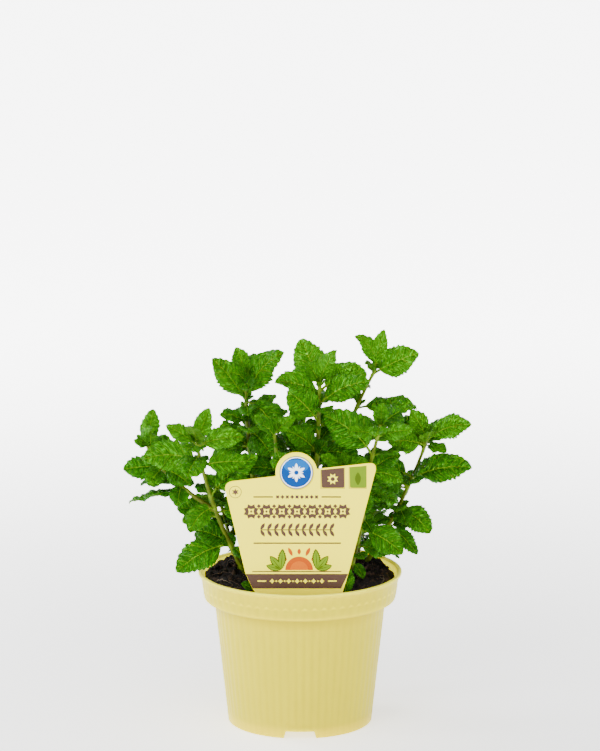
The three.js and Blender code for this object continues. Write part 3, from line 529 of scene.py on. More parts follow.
class Look:
    """A material with one principled shader. Its methods add nodes, take a number, a colour or a socket for
    each value, and give back the socket that carries the result."""

    def __init__(self, name, **constants):
        self.material = bpy.data.materials.new(name)
        self.material.use_nodes = True
        self.tree = self.material.node_tree
        self.tree.nodes.clear()
        self.shader = self.node("BsdfPrincipled")
        self.node("OutputMaterial", {"Surface": self.shader.outputs["BSDF"]})
        self.set(**constants)

    def put(self, socket, value):
        """Set a socket to a value, or link another socket to it."""
        if isinstance(value, bpy.types.NodeSocket):
            self.tree.links.new(value, socket)
        else:
            socket.default_value = value

    def set(self, **values):
        """Set inputs of the shader by their names, with _ for a blank."""
        for key, value in values.items():
            self.put(self.shader.inputs[key.replace("_", " ")], value)

    def node(self, kind, inputs=None, **settings):
        """A shader node with its settings, and its inputs by name or number."""
        made = self.tree.nodes.new("ShaderNode" + kind)
        for key, value in settings.items():
            setattr(made, key, value)
        for key, value in (inputs or {}).items():
            self.put(made.inputs[key], value)
        return made

    def calc(self, operation, *values, clamp=False):
        """One arithmetic step."""
        return self.node("Math", dict(enumerate(values)), operation=operation, use_clamp=clamp).outputs[0]

    def times(self, first, second):
        """A product."""
        return self.calc("MULTIPLY", first, second)

    def line(self, value, gain, start):
        """A value times a gain, from a start."""
        return self.calc("MULTIPLY_ADD", value, gain, start)

    def apart(self, value, centre):
        """Distance of a value from a centre."""
        return self.calc("ABSOLUTE", self.calc("SUBTRACT", value, centre))

    def step(self, value, low, high, first=0.0, last=1.0):
        """A soft step of a value between low and high, from first to last."""
        inputs = {0: value, 1: low, 2: high, 3: first, 4: last}
        return self.node("MapRange", inputs, interpolation_type="SMOOTHSTEP").outputs[0]

    def fall(self, value, low, high, last=0.0):
        """A soft step down from 1."""
        return self.step(value, low, high, 1.0, last)

    def mix(self, share, first, second, kind="MIX"):
        """Two colours mixed by a share."""
        return self.node("Mix", {0: share, 6: first, 7: second}, data_type="RGBA", blend_type=kind).outputs[2]

    def paint(self, base, *layers):
        """A colour under layers, each of them a mask, how much of it counts, and a colour."""
        for mask, share, over in layers:
            base = self.mix(mask if share == 1 else self.times(mask, share), base, over)
        return base

    def place(self):
        """Object coordinates, in metres."""
        return self.node("TexCoord").outputs["Object"]

    def split(self, vector):
        """The three numbers of a vector."""
        return self.node("SeparateXYZ", {0: vector}).outputs

    def join(self, *values):
        """A vector of up to three numbers."""
        return self.node("CombineXYZ", dict(enumerate(values))).outputs[0]

    def cloud(self, vector, scale, detail, rough, distortion=0.0):
        """Noise from 0 to 1 over a vector."""
        return self.node("TexNoise", {"Vector": vector, "Scale": scale, "Detail": detail, "Roughness": rough,
                                      "Distortion": distortion}).outputs["Fac"]

    def grain(self, scale, detail=3.0, rough=0.55):
        """Noise from 0 to 1 with that many waves to the metre."""
        return self.cloud(self.place(), scale, detail, rough)

    def relief(self, height, distance, strength=1.0, **below):
        """A bump of that height in metres, on the normal of another one if given."""
        inputs = {"Strength": strength, "Distance": distance, "Height": height, **below}
        return self.node("Bump", inputs).outputs["Normal"]

    def tone(self):
        """The colour that a piece keeps at each corner."""
        return self.node("Attribute", attribute_type="GEOMETRY", attribute_name="tone").outputs["Color"]

    def tones(self):
        """The three numbers that a piece keeps at each corner."""
        return self.node("SeparateColor", {0: self.tone()}).outputs


def pot_material(settings):
    """Moulded plastic: faint clouds and upright streaks of flow, painted shade in the grooves between the
    flutes and in a band under the ledge, a lighter colour and a painted glow on the wall above the soil, a
    painted highlight on the lip's crest, and scuffs."""
    look = Look("pot plastic", Specular_IOR_Level=0.16, Specular_Tint=(1.0, 0.85, 0.15, 1.0),
                Subsurface_Weight=0.8, Subsurface_Radius=(1.0, 1.0, 1.0), Subsurface_Scale=0.008)
    wall = settings.wall
    x, y, z = look.split(look.place())
    around = look.calc("ARCTAN2", y, x)
    flow = look.cloud(look.join(look.times(around, 14.0), look.times(z, 9.0)), 1.6, 4.0, 0.6)
    # Painted shade: the grooves between the flutes are coloured darker
    groove = look.fall(look.calc("COSINE", look.times(around, settings.flutes)), -1.0, 0.3)
    # Painted shade: a band that darkens up to the ledge, under its overhang
    ledge = look.times(look.step(z, (LEDGE_Z - 9) * MM, LEDGE_Z * MM),
                       look.fall(z, (LEDGE_Z + 0.2) * MM, (LEDGE_Z + 1.2) * MM))
    radius = look.calc("SQRT", look.calc("ADD", look.times(x, x), look.times(y, y)))
    # Painted light: the inner wall above the soil, coloured lighter and made to glow
    inside = look.times(look.fall(radius, (BAND_TOP_RADIUS - 1.2) * MM, (BAND_TOP_RADIUS - 0.9) * MM),
                        look.step(z, (LEDGE_Z + 6) * MM, (LEDGE_Z + 9) * MM))
    # Painted highlight: the lip's crest is coloured paler
    crest = look.step(z, (POT_HEIGHT - 1.0) * MM, (POT_HEIGHT - 0.35) * MM)
    base = look.mix(look.step(flow, 0.3, 0.7), rgba(wall, 0.985), rgba(wall, 1.01))
    base = look.paint(base, (look.grain(28.0), 0.10, rgba(wall, 0.86)), (groove, 0.13, rgba(wall, 0.72)),
                      (ledge, 0.7, rgba(wall, 0.6)), (inside, 1, rgba(settings.inner_wall_painted_light)))
    # Painted glow on the inner wall above the soil
    look.set(Emission_Color=base, Emission_Strength=look.times(inside, settings.painted_glow),
             # Painted highlight on the lip's crest
             Base_Color=look.paint(base, (crest, 0.8, rgba(settings.lip_painted_highlight))),
             Roughness=look.line(look.grain(210.0, 5.0, 0.7), 0.10, settings.roughness - 0.05),
             Normal=look.relief(look.grain(900.0, 2.0), 0.00006, 0.6))
    return look.material


def soil_material(settings):
    """Peat: near-black with brown flecks of bark, rough and full of small lumps."""
    look = Look("peat", Roughness=0.93, Specular_IOR_Level=0.22)
    peat, bark = settings.peat, settings.bark
    base = look.mix(look.step(look.grain(420.0, 4.0, 0.65), 0.50, 0.66), rgba(peat), rgba(bark))
    base = look.paint(base, (look.step(look.grain(90.0), 0.4, 0.65), 0.55, rgba(peat, 0.6)),
                      (look.tones()[0], 0.85, rgba(bark, 1.2)))
    look.set(Base_Color=base, Normal=look.relief(look.grain(1500.0, 5.0, 0.7), 0.0005))
    return look.material


def fibre_material(settings):
    """Root fibre: pale or brown by its own tone, with fine lengthways speckle."""
    look = Look("root fibre", Roughness=0.7, Specular_IOR_Level=0.3)
    base = look.mix(look.tones()[0], rgba(settings.fibre), rgba(settings.bark, 1.6))
    base = look.paint(base, (look.grain(1400.0), 0.5, rgba(settings.bark)))
    look.set(Base_Color=base, Normal=look.relief(look.grain(3000.0), 0.0001))
    return look.material


def card_material(settings):
    """Printed card: a satin sheet with faint specks and a slight orange-peel."""
    look = Look("label card", Roughness=0.42, Specular_IOR_Level=0.12, Specular_Tint=(1.0, 0.9, 0.2, 1.0))
    base = look.paint(rgba(settings.card),
                      (look.step(look.grain(700.0, 3.0), 0.55, 0.75), 0.10, rgba(settings.card, 0.82)),
                      (look.step(look.grain(60.0), 0.35, 0.7), 0.08, rgba(settings.card, 0.85)))
    look.set(Base_Color=base, Normal=look.relief(look.grain(1600.0, 2.0), 0.00004, 0.5))
    return look.material


def ink_material():
    """Ink: the colour that each printed shape keeps, a little uneven, in the card's satin."""
    look = Look("label ink", Roughness=0.38, Specular_IOR_Level=0.05)
    uneven = look.times(look.step(look.grain(900.0), 0.45, 0.75), 0.14)
    look.set(Base_Color=look.mix(uneven, look.tone(), rgba((1, 1, 1), 0.55), "MULTIPLY"),
             Normal=look.relief(look.grain(1600.0, 2.0), 0.00004, 0.5))
    return look.material


def leaf_material(settings):
    """Mint leaf: green by age and mottling, a pale midrib and side veins that rise forward from it at the
    share of the blade x - 0.24 a, painted shade in lines beside them and in the creases that run along with
    them, painted highlights on the bulges between the creases, and a paler, duller underside."""
    look = Look("mint leaf", Specular_IOR_Level=0.32, Specular_Tint=(0.5, 1.0, 0.3, 1.0),
                Subsurface_Weight=0.15, Subsurface_Radius=(0.5, 1.0, 0.1), Subsurface_Scale=0.0012)
    light, deep, vein = settings.light_green, settings.deep_green, settings.vein
    forward, sideways, _ = look.split(look.node("UVMap", uv_map="blade").outputs[0])
    tint, young, under = look.tones()
    aside = look.line(sideways, 2.0, -1.0)
    across = look.calc("ABSOLUTE", aside)
    slant = look.line(across, -VEINS["slant"], forward)
    off = look.apart(look.calc("FRACT", look.line(slant, VEINS["count"], 0.5)), 0.5)
    side_vein = look.times(look.fall(off, 0.01, 0.07), look.fall(across, 0.45, 1.1, 0.2))
    beside = look.times(look.step(off, 0.05, 0.10), look.fall(off, 0.12, 0.22))
    midrib = look.times(look.fall(across, 0.015, 0.055), look.fall(forward, 0.4, 1.0, 0.3))
    stalk = look.fall(forward, 0.0, 0.05)
    along_veins = look.join(look.times(slant, 22.0), look.times(aside, 3.2), look.times(tint, 40.0))
    crinkle = look.cloud(along_veins, 1.0, 2.0, 0.5, 0.5)
    from_crease = look.apart(crinkle, 0.5)
    mottle = look.line(look.grain(110.0), 0.16, -0.08)
    age = look.calc("ADD", look.line(young, 0.6, look.times(tint, 0.55)), mottle, clamp=True)
    # Painted shade darkens the creases and the lines beside the side veins; painted highlights lighten the
    # bulges
    base = look.paint(
        rgba(deep), (age, 1, rgba(light)), (look.step(from_crease, 0.0, 0.08, 0.8, 0.0), 1, rgba(deep, 0.6)),
        (look.step(crinkle, 0.55, 0.78, 0.0, 0.35), 1, rgba(light, 1.25)), (beside, 0.45, rgba(deep, 0.7)),
        (side_vein, 0.40, rgba(vein)), (midrib, 0.85, rgba(vein, 1.35)), (under, 0.30, rgba(vein, 0.7)),
        (stalk, 0.85, rgba(vein, 0.85)))
    swell = look.times(look.step(from_crease, 0.0, 0.12), look.step(off, 0.0, 0.14))
    look.set(Base_Color=base, Roughness=look.line(under, 0.25, look.line(look.grain(500.0), 0.16, 0.14)),
             Normal=look.relief(look.grain(2000.0, 3.0), 0.00010, 0.5, Normal=look.relief(swell, 0.0015)))
    return look.material


def stem_material(settings):
    """Stem: green to olive-brown by its own tone, with fine speckle and lighter joints."""
    look = Look("mint stem", Roughness=0.48, Specular_IOR_Level=0.12,
                Subsurface_Weight=0.1, Subsurface_Radius=(0.8, 1.0, 0.2), Subsurface_Scale=0.001)
    woody, joint, _ = look.tones()
    old = look.calc("ADD", woody, look.line(look.grain(160.0), 0.5, -0.25), clamp=True)
    base = look.paint(rgba(settings.stem), (old, 1, rgba(settings.woody)), (joint, 0.5, rgba(settings.vein)),
                      (look.grain(1500.0), 0.25, rgba(settings.stem, 0.5)))
    look.set(Base_Color=base, Normal=look.relief(look.grain(2200.0, 4.0), 0.00015))
    return look.material


def floor_material(settings):
    """Studio floor: a plain pale sheet with the faintest unevenness that gives off a painted glow, more so
    away from the plant.
    """
    look = Look("studio floor", Roughness=0.7, Specular_IOR_Level=0.2)
    base = look.paint(rgba(settings.floor), (look.grain(3.0), 0.03, rgba(settings.floor, 0.97)))
    # Painted glow: the floor gives off light by itself, more so away from the plant
    away = look.node("VectorMath", {0: look.place()}, operation="LENGTH").outputs["Value"]
    look.set(Base_Color=base, Emission_Color=base,
             Emission_Strength=look.step(away, 0.12, 1.3, settings.glow, settings.glow * 4.5))
    return look.material


# Pot

def wall_radius(z):
    """Outer radius of the tapered wall."""
    return FOOT["radius"] + (WALL_TOP_RADIUS - FOOT["radius"]) * z / LEDGE_Z


def band_radius(z):
    """Outer radius of the band under the lip."""
    return BAND_LOW_RADIUS + BAND["flare"] * (z - LEDGE_Z) / (BAND_TOP - LEDGE_Z)


def pot_profile():
    """The wall's section as a closed loop of (radius, height, share of the flutes): up the outside, over the
    lip, and down the inside to the foot ring."""
    crook, band, ledge, corner = WALL_TOP_RADIUS, BAND_LOW_RADIUS, LEDGE_Z, BAND["round"]
    lip, top, under, bend = LIP["radius"], POT_HEIGHT, POT_HEIGHT - LIP["high"], LIP["round"]
    rows = [*flat_arc(FOOT["radius"] - 0.4, 0.4, 0.4, -90, -15, 4)]
    rows += [(wall_radius(z) + 0.10, z) for z in (0.5, 1.0, 1.8, 2.8, 3.8, 4.8, 5.8, 6.5)]
    rows += [(wall_radius(z), z, smooth(6.9, 9, z) * (1 - smooth(69, 73.5, z)))
             for z in (7.0, 8.5, 12, 18, 25, 33, 41, 49, 57, 64, 70, 73)]
    rows += [(crook + 0.12, ledge - 0.7), (crook + 0.5, ledge - 0.25), (crook + 1.3, ledge - 0.06),
             (band - 3, ledge)]
    rows += [*flat_arc(band - corner, ledge + corner, corner, -90, 0, 6)]
    rows += [(band_radius(z), z, smooth(75.5, 78, z) * (1 - smooth(82, 88, z)))
             for z in (ledge + 1.6, ledge + 3.5, ledge + 6, ledge + 9, ledge + 11.5, BAND_TOP - 0.6)]
    rows += [(BAND_TOP_RADIUS + 0.25, BAND_TOP - 0.1), (lip - 0.5, under - 0.12), (lip - 0.08, under + 0.2),
             (lip, top - 1.05), *flat_arc(lip - bend, top - bend, bend, 5, 90, 6),
             *flat_arc(lip - bend - 1, top - bend, bend, 90, 180, 6)]
    shelf, floor, inner = ledge + WALL, FOOT["high"] + WALL, FOOT["radius"] - FOOT["wide"]
    rows += [(band_radius(z) - WALL, z) for z in (88.5, 84, 80, shelf + 0.4)]
    rows += [(wall_radius(ledge) - WALL, shelf)]
    rows += [(wall_radius(z) - WALL, z) for z in (60, 40, 20, floor)]
    rows += [(inner, FOOT["high"]), (inner, 3.4), (inner, 1.8), (inner, 0.3), (inner + 0.3, 0)]
    return np.array([(*row, 0)[:3] for row in rows], float)


def notch_height(angle):
    """Height of the foot's drain notches at an angle in degrees: a trapezium over each notch, else 0."""
    high = np.zeros_like(angle)
    for centre in NOTCH["angles"]:
        across = FOOT["radius"] * np.radians(np.abs((angle - centre + 180) % 360 - 180))
        rise = (NOTCH["wide"] / 2 - across) / ((NOTCH["wide"] - NOTCH["top"]) / 2)
        high = np.maximum(high, NOTCH["high"] * np.clip(rise, 0, 1))
    return high


def pot_shell(settings):
    """The section turned about the axis. Flutes add depth times the cosine of count times the angle, and at a
    notch the foot's heights are squeezed between the notch's top and the raised floor."""
    profile, turn = pot_profile(), full_turn(settings.columns)
    r = profile[:, None, 0] + profile[:, None, 2] * settings.flute_depth / MM * np.cos(settings.flutes * turn)
    z = np.repeat(profile[:, 1:2], len(turn), axis=1)
    high = notch_height(np.degrees(turn))[None]
    low = z < FOOT["high"] + 0.01
    squeezed = np.where(low, high + z * (FOOT["high"] - high) / FOOT["high"], z)
    outer = low & (profile[:, None, 0] > FOOT["radius"] - 0.5)
    r = r + np.where(outer, wall_radius(squeezed) - wall_radius(z), 0)
    points = np.stack([r * np.cos(turn), r * np.sin(turn), squeezed], -1)
    return points, [grid_faces(len(profile), len(turn), round_rows=True, round_columns=True)]


def pierced_floor(name, material):
    """The pot's raised floor: a flat filled curve with its drain holes, pushed out to its thickness."""
    flat = bpy.data.curves.new(name, "CURVE")
    flat.dimensions, flat.fill_mode, flat.extrude = "2D", "BOTH", WALL / 2 * MM
    centres = np.vstack([[0, 0], circle_points(0, 0, DRAIN["ring"], DRAIN["count"])])
    rings = [circle_points(0, 0, wall_radius(FOOT["high"]) - WALL + 0.5, 180)]
    rings += [circle_points(x, y, DRAIN["radius"], 40) for x, y in centres]
    for ring in rings:
        spline = flat.splines.new("POLY")
        spline.points.add(len(ring) - 1)
        corners = np.column_stack([ring * MM, np.zeros(len(ring)), np.ones(len(ring))])
        spline.points.foreach_set("co", corners.ravel())
        spline.use_cyclic_u = True
    holder = bpy.data.objects.new(name + "_curve", flat)
    bpy.context.collection.objects.link(holder)
    bpy.context.view_layer.update()
    mesh = bpy.data.meshes.new_from_object(holder.evaluated_get(bpy.context.evaluated_depsgraph_get()))
    bpy.data.objects.remove(holder)
    bpy.data.curves.remove(flat)
    corners = np.empty(len(mesh.vertices) * 3)
    mesh.vertices.foreach_get("co", corners)
    corners[2::3] += (FOOT["high"] + WALL / 2) * MM
    mesh.vertices.foreach_set("co", corners)
    mesh.materials.clear()
    mesh.materials.append(material)
    mesh.name = name
    attach(name, mesh, ["pot"])


# Soil

SOIL_RADIUS = band_radius(SOIL["top"]) - WALL - 0.7
CRUMB_RADIUS = SOIL_RADIUS - 1.6
FIBRE_RADIUS = 54


def soil_height(x, y, rough):
    """Height of the soil: a mound that falls off as the square of the distance, plus noise of 9, 3.6 and 1.7
    mm that fades at the rim. The two finer noises are folded down at zero, which makes sharp crests. The soil
    is heaped at the left and more so at the right, falls off to the right wall, and dips before the label."""
    r = np.hypot(x, y)
    spot = np.stack([x, y, np.zeros_like(x)], -1)
    rolls = 0.9 * noise(spot, 9.0, 3)
    lumps = 1.15 * (0.5 - np.abs(noise(spot, 3.6, 5)))
    crumbs = 0.75 * (0.4 - np.abs(noise(spot, 1.7, 7)))
    fade = 0.7 + 0.3 * (1 - smooth(SOIL_RADIUS - 5, SOIL_RADIUS, r))
    before_label = smooth(36, 44, -y) * (1 - smooth(26, 34, np.abs(x)))
    left = 1.1 * smooth(12, 30, -x)
    right = 2.6 * smooth(12, 30, x) * (1 - smooth(46, 54, x)) - 2.4 * smooth(49, 56, x)
    heap = (left + right) * (1 - smooth(12, 42, -y))
    rise = SOIL["mound"] * (1 - (r / SOIL_RADIUS) ** 2) + heap + rough * fade * (rolls + lumps + crumbs)
    rise = np.where(r > 48, np.minimum(rise, 3.2), rise)
    return SOIL["top"] + rise - before_label * (1.6 + 0.7 * rise)


def soil_body(rough, columns=320, rows=62):
    """The soil as rings about the axis: a centre, the crumbly top out to the rim, then straight down."""
    turn = full_turn(columns)
    r = SOIL_RADIUS * np.linspace(0, 1, rows + 1)[1:, None] * np.ones(columns)
    x, y = r * np.cos(turn), r * np.sin(turn)
    top = np.stack([x, y, soil_height(x, y, rough)], -1)
    gap, floor, shelf = SOIL["gap"], SOIL["floor"], LEDGE_Z + WALL + SOIL["gap"]
    steps = ((band_radius(shelf) - WALL - 0.4, shelf), (wall_radius(LEDGE_Z) - WALL - gap, shelf),
             (wall_radius(floor) - WALL - gap, floor))
    sides = [np.column_stack([radius * np.cos(turn), radius * np.sin(turn), np.full(columns, z)])
             for radius, z in steps]
    rings = np.concatenate([top, np.array(sides)])
    centre = soil_height(np.zeros(1), np.zeros(1), rough)[0]
    points = np.concatenate([rings.reshape(-1, 3), [[0, 0, centre], [0, 0, floor]]])
    first, last = np.arange(columns), (len(rings) - 1) * columns + np.arange(columns)
    return points, [grid_faces(len(rings), columns, round_columns=True)[:, ::-1],
                    fan_faces(first, len(points) - 2), fan_faces(last, len(points) - 1, flip=True)]


def crumb_lumps(n, rough):
    """Loose crumbs: eight-sided lumps split once to 32 faces, pushed in and out by chance, stretched and
    turned, and half sunk where they lie."""
    rng = np.random.default_rng(21)
    corners = list(np.array([[1, 0, 0], [-1, 0, 0], [0, 1, 0], [0, -1, 0], [0, 0, 1], [0, 0, -1]], float))
    halves, faces = {}, []

    def middle(a, b):
        key = (min(a, b), max(a, b))
        if key not in halves:
            halves[key] = len(corners)
            corners.append(unit(corners[a] + corners[b]))
        return halves[key]

    for a, b, c in ((4, 0, 2), (4, 2, 1), (4, 1, 3), (4, 3, 0), (5, 2, 0), (5, 1, 2), (5, 3, 1), (5, 0, 3)):
        ab, bc, ca = middle(a, b), middle(b, c), middle(c, a)
        faces += [(a, ab, ca), (ab, b, bc), (ca, bc, c), (ab, bc, ca)]
    ball = np.array(corners)
    size = rng.uniform(0.4, 0.95, n) * (1 + 1.3 * rng.random(n) ** 4)
    bumps = 1 + rng.uniform(-0.3, 0.3, (n, len(ball), 1))
    lumps = ball * bumps * rng.uniform(0.65, 1.35, (n, 1, 3)) * size[:, None, None]
    w, x, y, z = unit(rng.normal(size=(n, 4))).T
    turn = np.stack([1 - 2 * (y * y + z * z), 2 * (x * y - z * w), 2 * (x * z + y * w),
                     2 * (x * y + z * w), 1 - 2 * (x * x + z * z), 2 * (y * z - x * w),
                     2 * (x * z - y * w), 2 * (y * z + x * w), 1 - 2 * (x * x + y * y)], -1).reshape(n, 3, 3)
    lumps = np.einsum("nij,nkj->nki", turn, lumps)
    r, a = CRUMB_RADIUS * np.sqrt(rng.random(n)), rng.uniform(0, 2 * np.pi, n)
    x, y = r * np.cos(a), r * np.sin(a)
    points = lumps + np.stack([x, y, soil_height(x, y, rough) + 0.1 * size], -1)[:, None]
    tone = np.repeat(rng.random(n) ** 3, len(ball))
    return points, [copied_faces(np.array(faces), n, len(ball))], np.column_stack([tone, tone, tone])


def soil_fibres(n, rough, steps=15, sides=5):
    """Root fibres: thin tubes on lines that wander over the soil as their heading turns, and bow up."""
    rng = np.random.default_rng(8)

    def draw(low, high):
        return rng.uniform(low, high, n)[:, None]

    t = np.linspace(0, 1, steps)
    r, a = FIBRE_RADIUS * np.sqrt(rng.random(n)), rng.uniform(0, 2 * np.pi, n)
    stride = draw(5, 17) / steps
    heading = draw(0, 2 * np.pi) + draw(-3.5, 3.5) * t + 0.5 * np.sin(draw(4, 9) * t + draw(0, 6))
    x = (r * np.cos(a))[:, None] + np.cumsum(np.cos(heading) * stride, 1)
    y = (r * np.sin(a))[:, None] + np.cumsum(np.sin(heading) * stride, 1)
    far = np.maximum(1, np.hypot(x, y) / (FIBRE_RADIUS + 0.5))
    x, y = x / far, y / far
    lift = draw(0.2, 2.4) * np.sin(np.pi * t)
    line = np.stack([x, y, soil_height(x, y, 0.5 * rough) + 0.25 + lift], -1)
    ahead = unit(np.gradient(line, axis=1))
    across = unit(np.cross(ahead, UP))
    radius = draw(0.09, 0.2) * (1 - 0.6 * t)
    points = tube_rings(line, across, np.cross(ahead, across), np.repeat(radius[..., None], sides, -1))
    caps = np.column_stack([np.zeros(sides - 2, int), np.arange(1, sides - 1), np.arange(2, sides)])
    one = [grid_faces(steps, sides, round_columns=True), caps[:, ::-1], caps + (steps - 1) * sides]
    tone = np.repeat((rng.random(n) > 0.45).astype(float) * rng.uniform(0.5, 1, n), steps * sides)
    faces = [copied_faces(some, n, steps * sides) for some in one]
    return points, faces, np.column_stack([tone, tone, tone])


# Label

def quad_curve(start, control, end, count):
    """Points of a quadratic curve after its start: (1-t)^2 start + 2t(1-t) control + t^2 end."""
    t = np.linspace(0, 1, count + 1)[1:, None]
    a, b, c = (np.array(p, float) for p in (start, control, end))
    return (1 - t) ** 2 * a + 2 * t * (1 - t) * b + t * t * c


def label_outline():
    """The label's edge in the flat: tongue, right edge, slanting top with its round lobe, left edge."""
    tongue = [(x, LABEL["low"] + z) for x, z in LABEL_TONGUE]
    lobe = flat_arc(*(LABEL_LOBE[key] for key in ("x", "z", "radius", "from", "to")), 48)
    return np.array([
        *tongue, (29.7, 100.2), (45, 160.5), *quad_curve((45, 160.5), (46.5, 166.3), (41, 165.7), 10),
        (11.2, 162.3), *lobe, (-36.8, 155.2), *quad_curve((-36.8, 155.2), (-42.4, 154.4), (-41.1, 148.7), 10),
        (-29.8, 100.2), (-25.8, 91.3), *[(-x, z) for x, z in tongue[-2::-1]]])


def inset_outline(outline, depth):
    """The outline moved inwards by a depth along the mean of the two edges' normals at each corner."""
    run = unit(outline - np.roll(outline, 1, axis=0)) + unit(np.roll(outline, -1, axis=0) - outline)
    return outline + depth * unit(np.stack([-run[:, 1], run[:, 0]], -1))


def label_plate(name, material):
    """The flat outline on both sides, joined by a rim whose edges are rounded off."""
    outline, edge = label_outline(), LABEL["round"]
    front, back = LABEL["front"], LABEL["front"] + LABEL["thick"]
    layers = [(edge, front), (edge * 0.3, front + edge * 0.3), (0, front + edge),
              (0, back - edge), (edge * 0.3, back - edge * 0.3), (edge, back)]
    n = len(outline)
    flats = [inset_outline(outline, depth) + [LABEL["centre"], 0] for depth, _ in layers]
    points = [np.column_stack([flat[:, 0], np.full(n, y), flat[:, 1]]) for flat, (_, y) in zip(flats, layers)]
    ends = [np.arange(n)[None, ::-1], np.arange(n)[None] + (len(layers) - 1) * n]
    faces = [grid_faces(len(layers), n, round_columns=True), *ends]
    add_piece(name, points, faces, [material], "label", ["label"], flat=True)


class Print:
    """Thin printed shapes on the label's front, gathered into one mesh. Each is a fan from its centre to its
    outline, 0.03 mm higher for each level, with a rim down into the card."""

    def __init__(self):
        self.points, self.faces, self.tones, self.count = [], [], [], 0

    def add(self, outline, ink, level=1, centre=None):
        """One shape from its outline, which every ray from its centre meets once."""
        outline = np.asarray(outline, float)
        n = len(outline)
        flat = np.vstack([outline, outline.mean(0) if centre is None else centre])
        for y in (LABEL["front"] - LABEL["ink"] * level, LABEL["front"] + 0.1):
            self.points.append(np.column_stack([flat[:, 0], np.full(n + 1, y), flat[:, 1]]))
        upper = self.count + np.arange(n)
        lower = upper + n + 1
        upper_2, lower_2 = np.roll(upper, -1), np.roll(lower, -1)
        self.faces += [fan_faces(upper, self.count + n), fan_faces(lower, self.count + 2 * n + 1, flip=True),
                       np.stack([upper, lower, lower_2], -1), np.stack([upper, lower_2, upper_2], -1)]
        self.tones.append(np.tile(ink, (2 * n + 2, 1)))
        self.count += 2 * n + 2

    def disc(self, x, z, radius, ink, level=1, count=48):
        """A round spot."""
        self.add(circle_points(x, z, radius, count), ink, level)

    def bar(self, x0, x1, z0, z1, ink, level=1):
        """A straight bar."""
        self.add([(x0, z0), (x1, z0), (x1, z1), (x0, z1)], ink, level)

    def star(self, x, z, outer, inner, tips, ink, level=1, turn=0.0):
        """A star with that many tips."""
        a = np.radians(turn) + np.arange(2 * tips) * np.pi / tips
        r = np.tile([outer, inner], tips)
        self.add(np.column_stack([x + r * np.cos(a), z + r * np.sin(a)]), ink, level)

    def petal(self, x, z, length, wide, turn, ink, level=1, count=20, notch=0.0):
        """A pointed oval from a point outwards: half width wide sin(pi t)^0.8, with teeth if notched."""
        t = np.linspace(0, 1, count)
        half = wide * np.sin(np.pi * t) ** 0.8 * (1 + notch * np.where(np.arange(count) % 2 == 0, 1, -1))
        a = np.radians(turn)
        line = np.array([x, z]) + t[:, None] * length * np.array([np.cos(a), np.sin(a)])
        out = half[:, None] * np.array([-np.sin(a), np.cos(a)])
        self.add(np.vstack([line - out, (line + out)[-2:0:-1]]), ink, level, centre=line[count // 2])


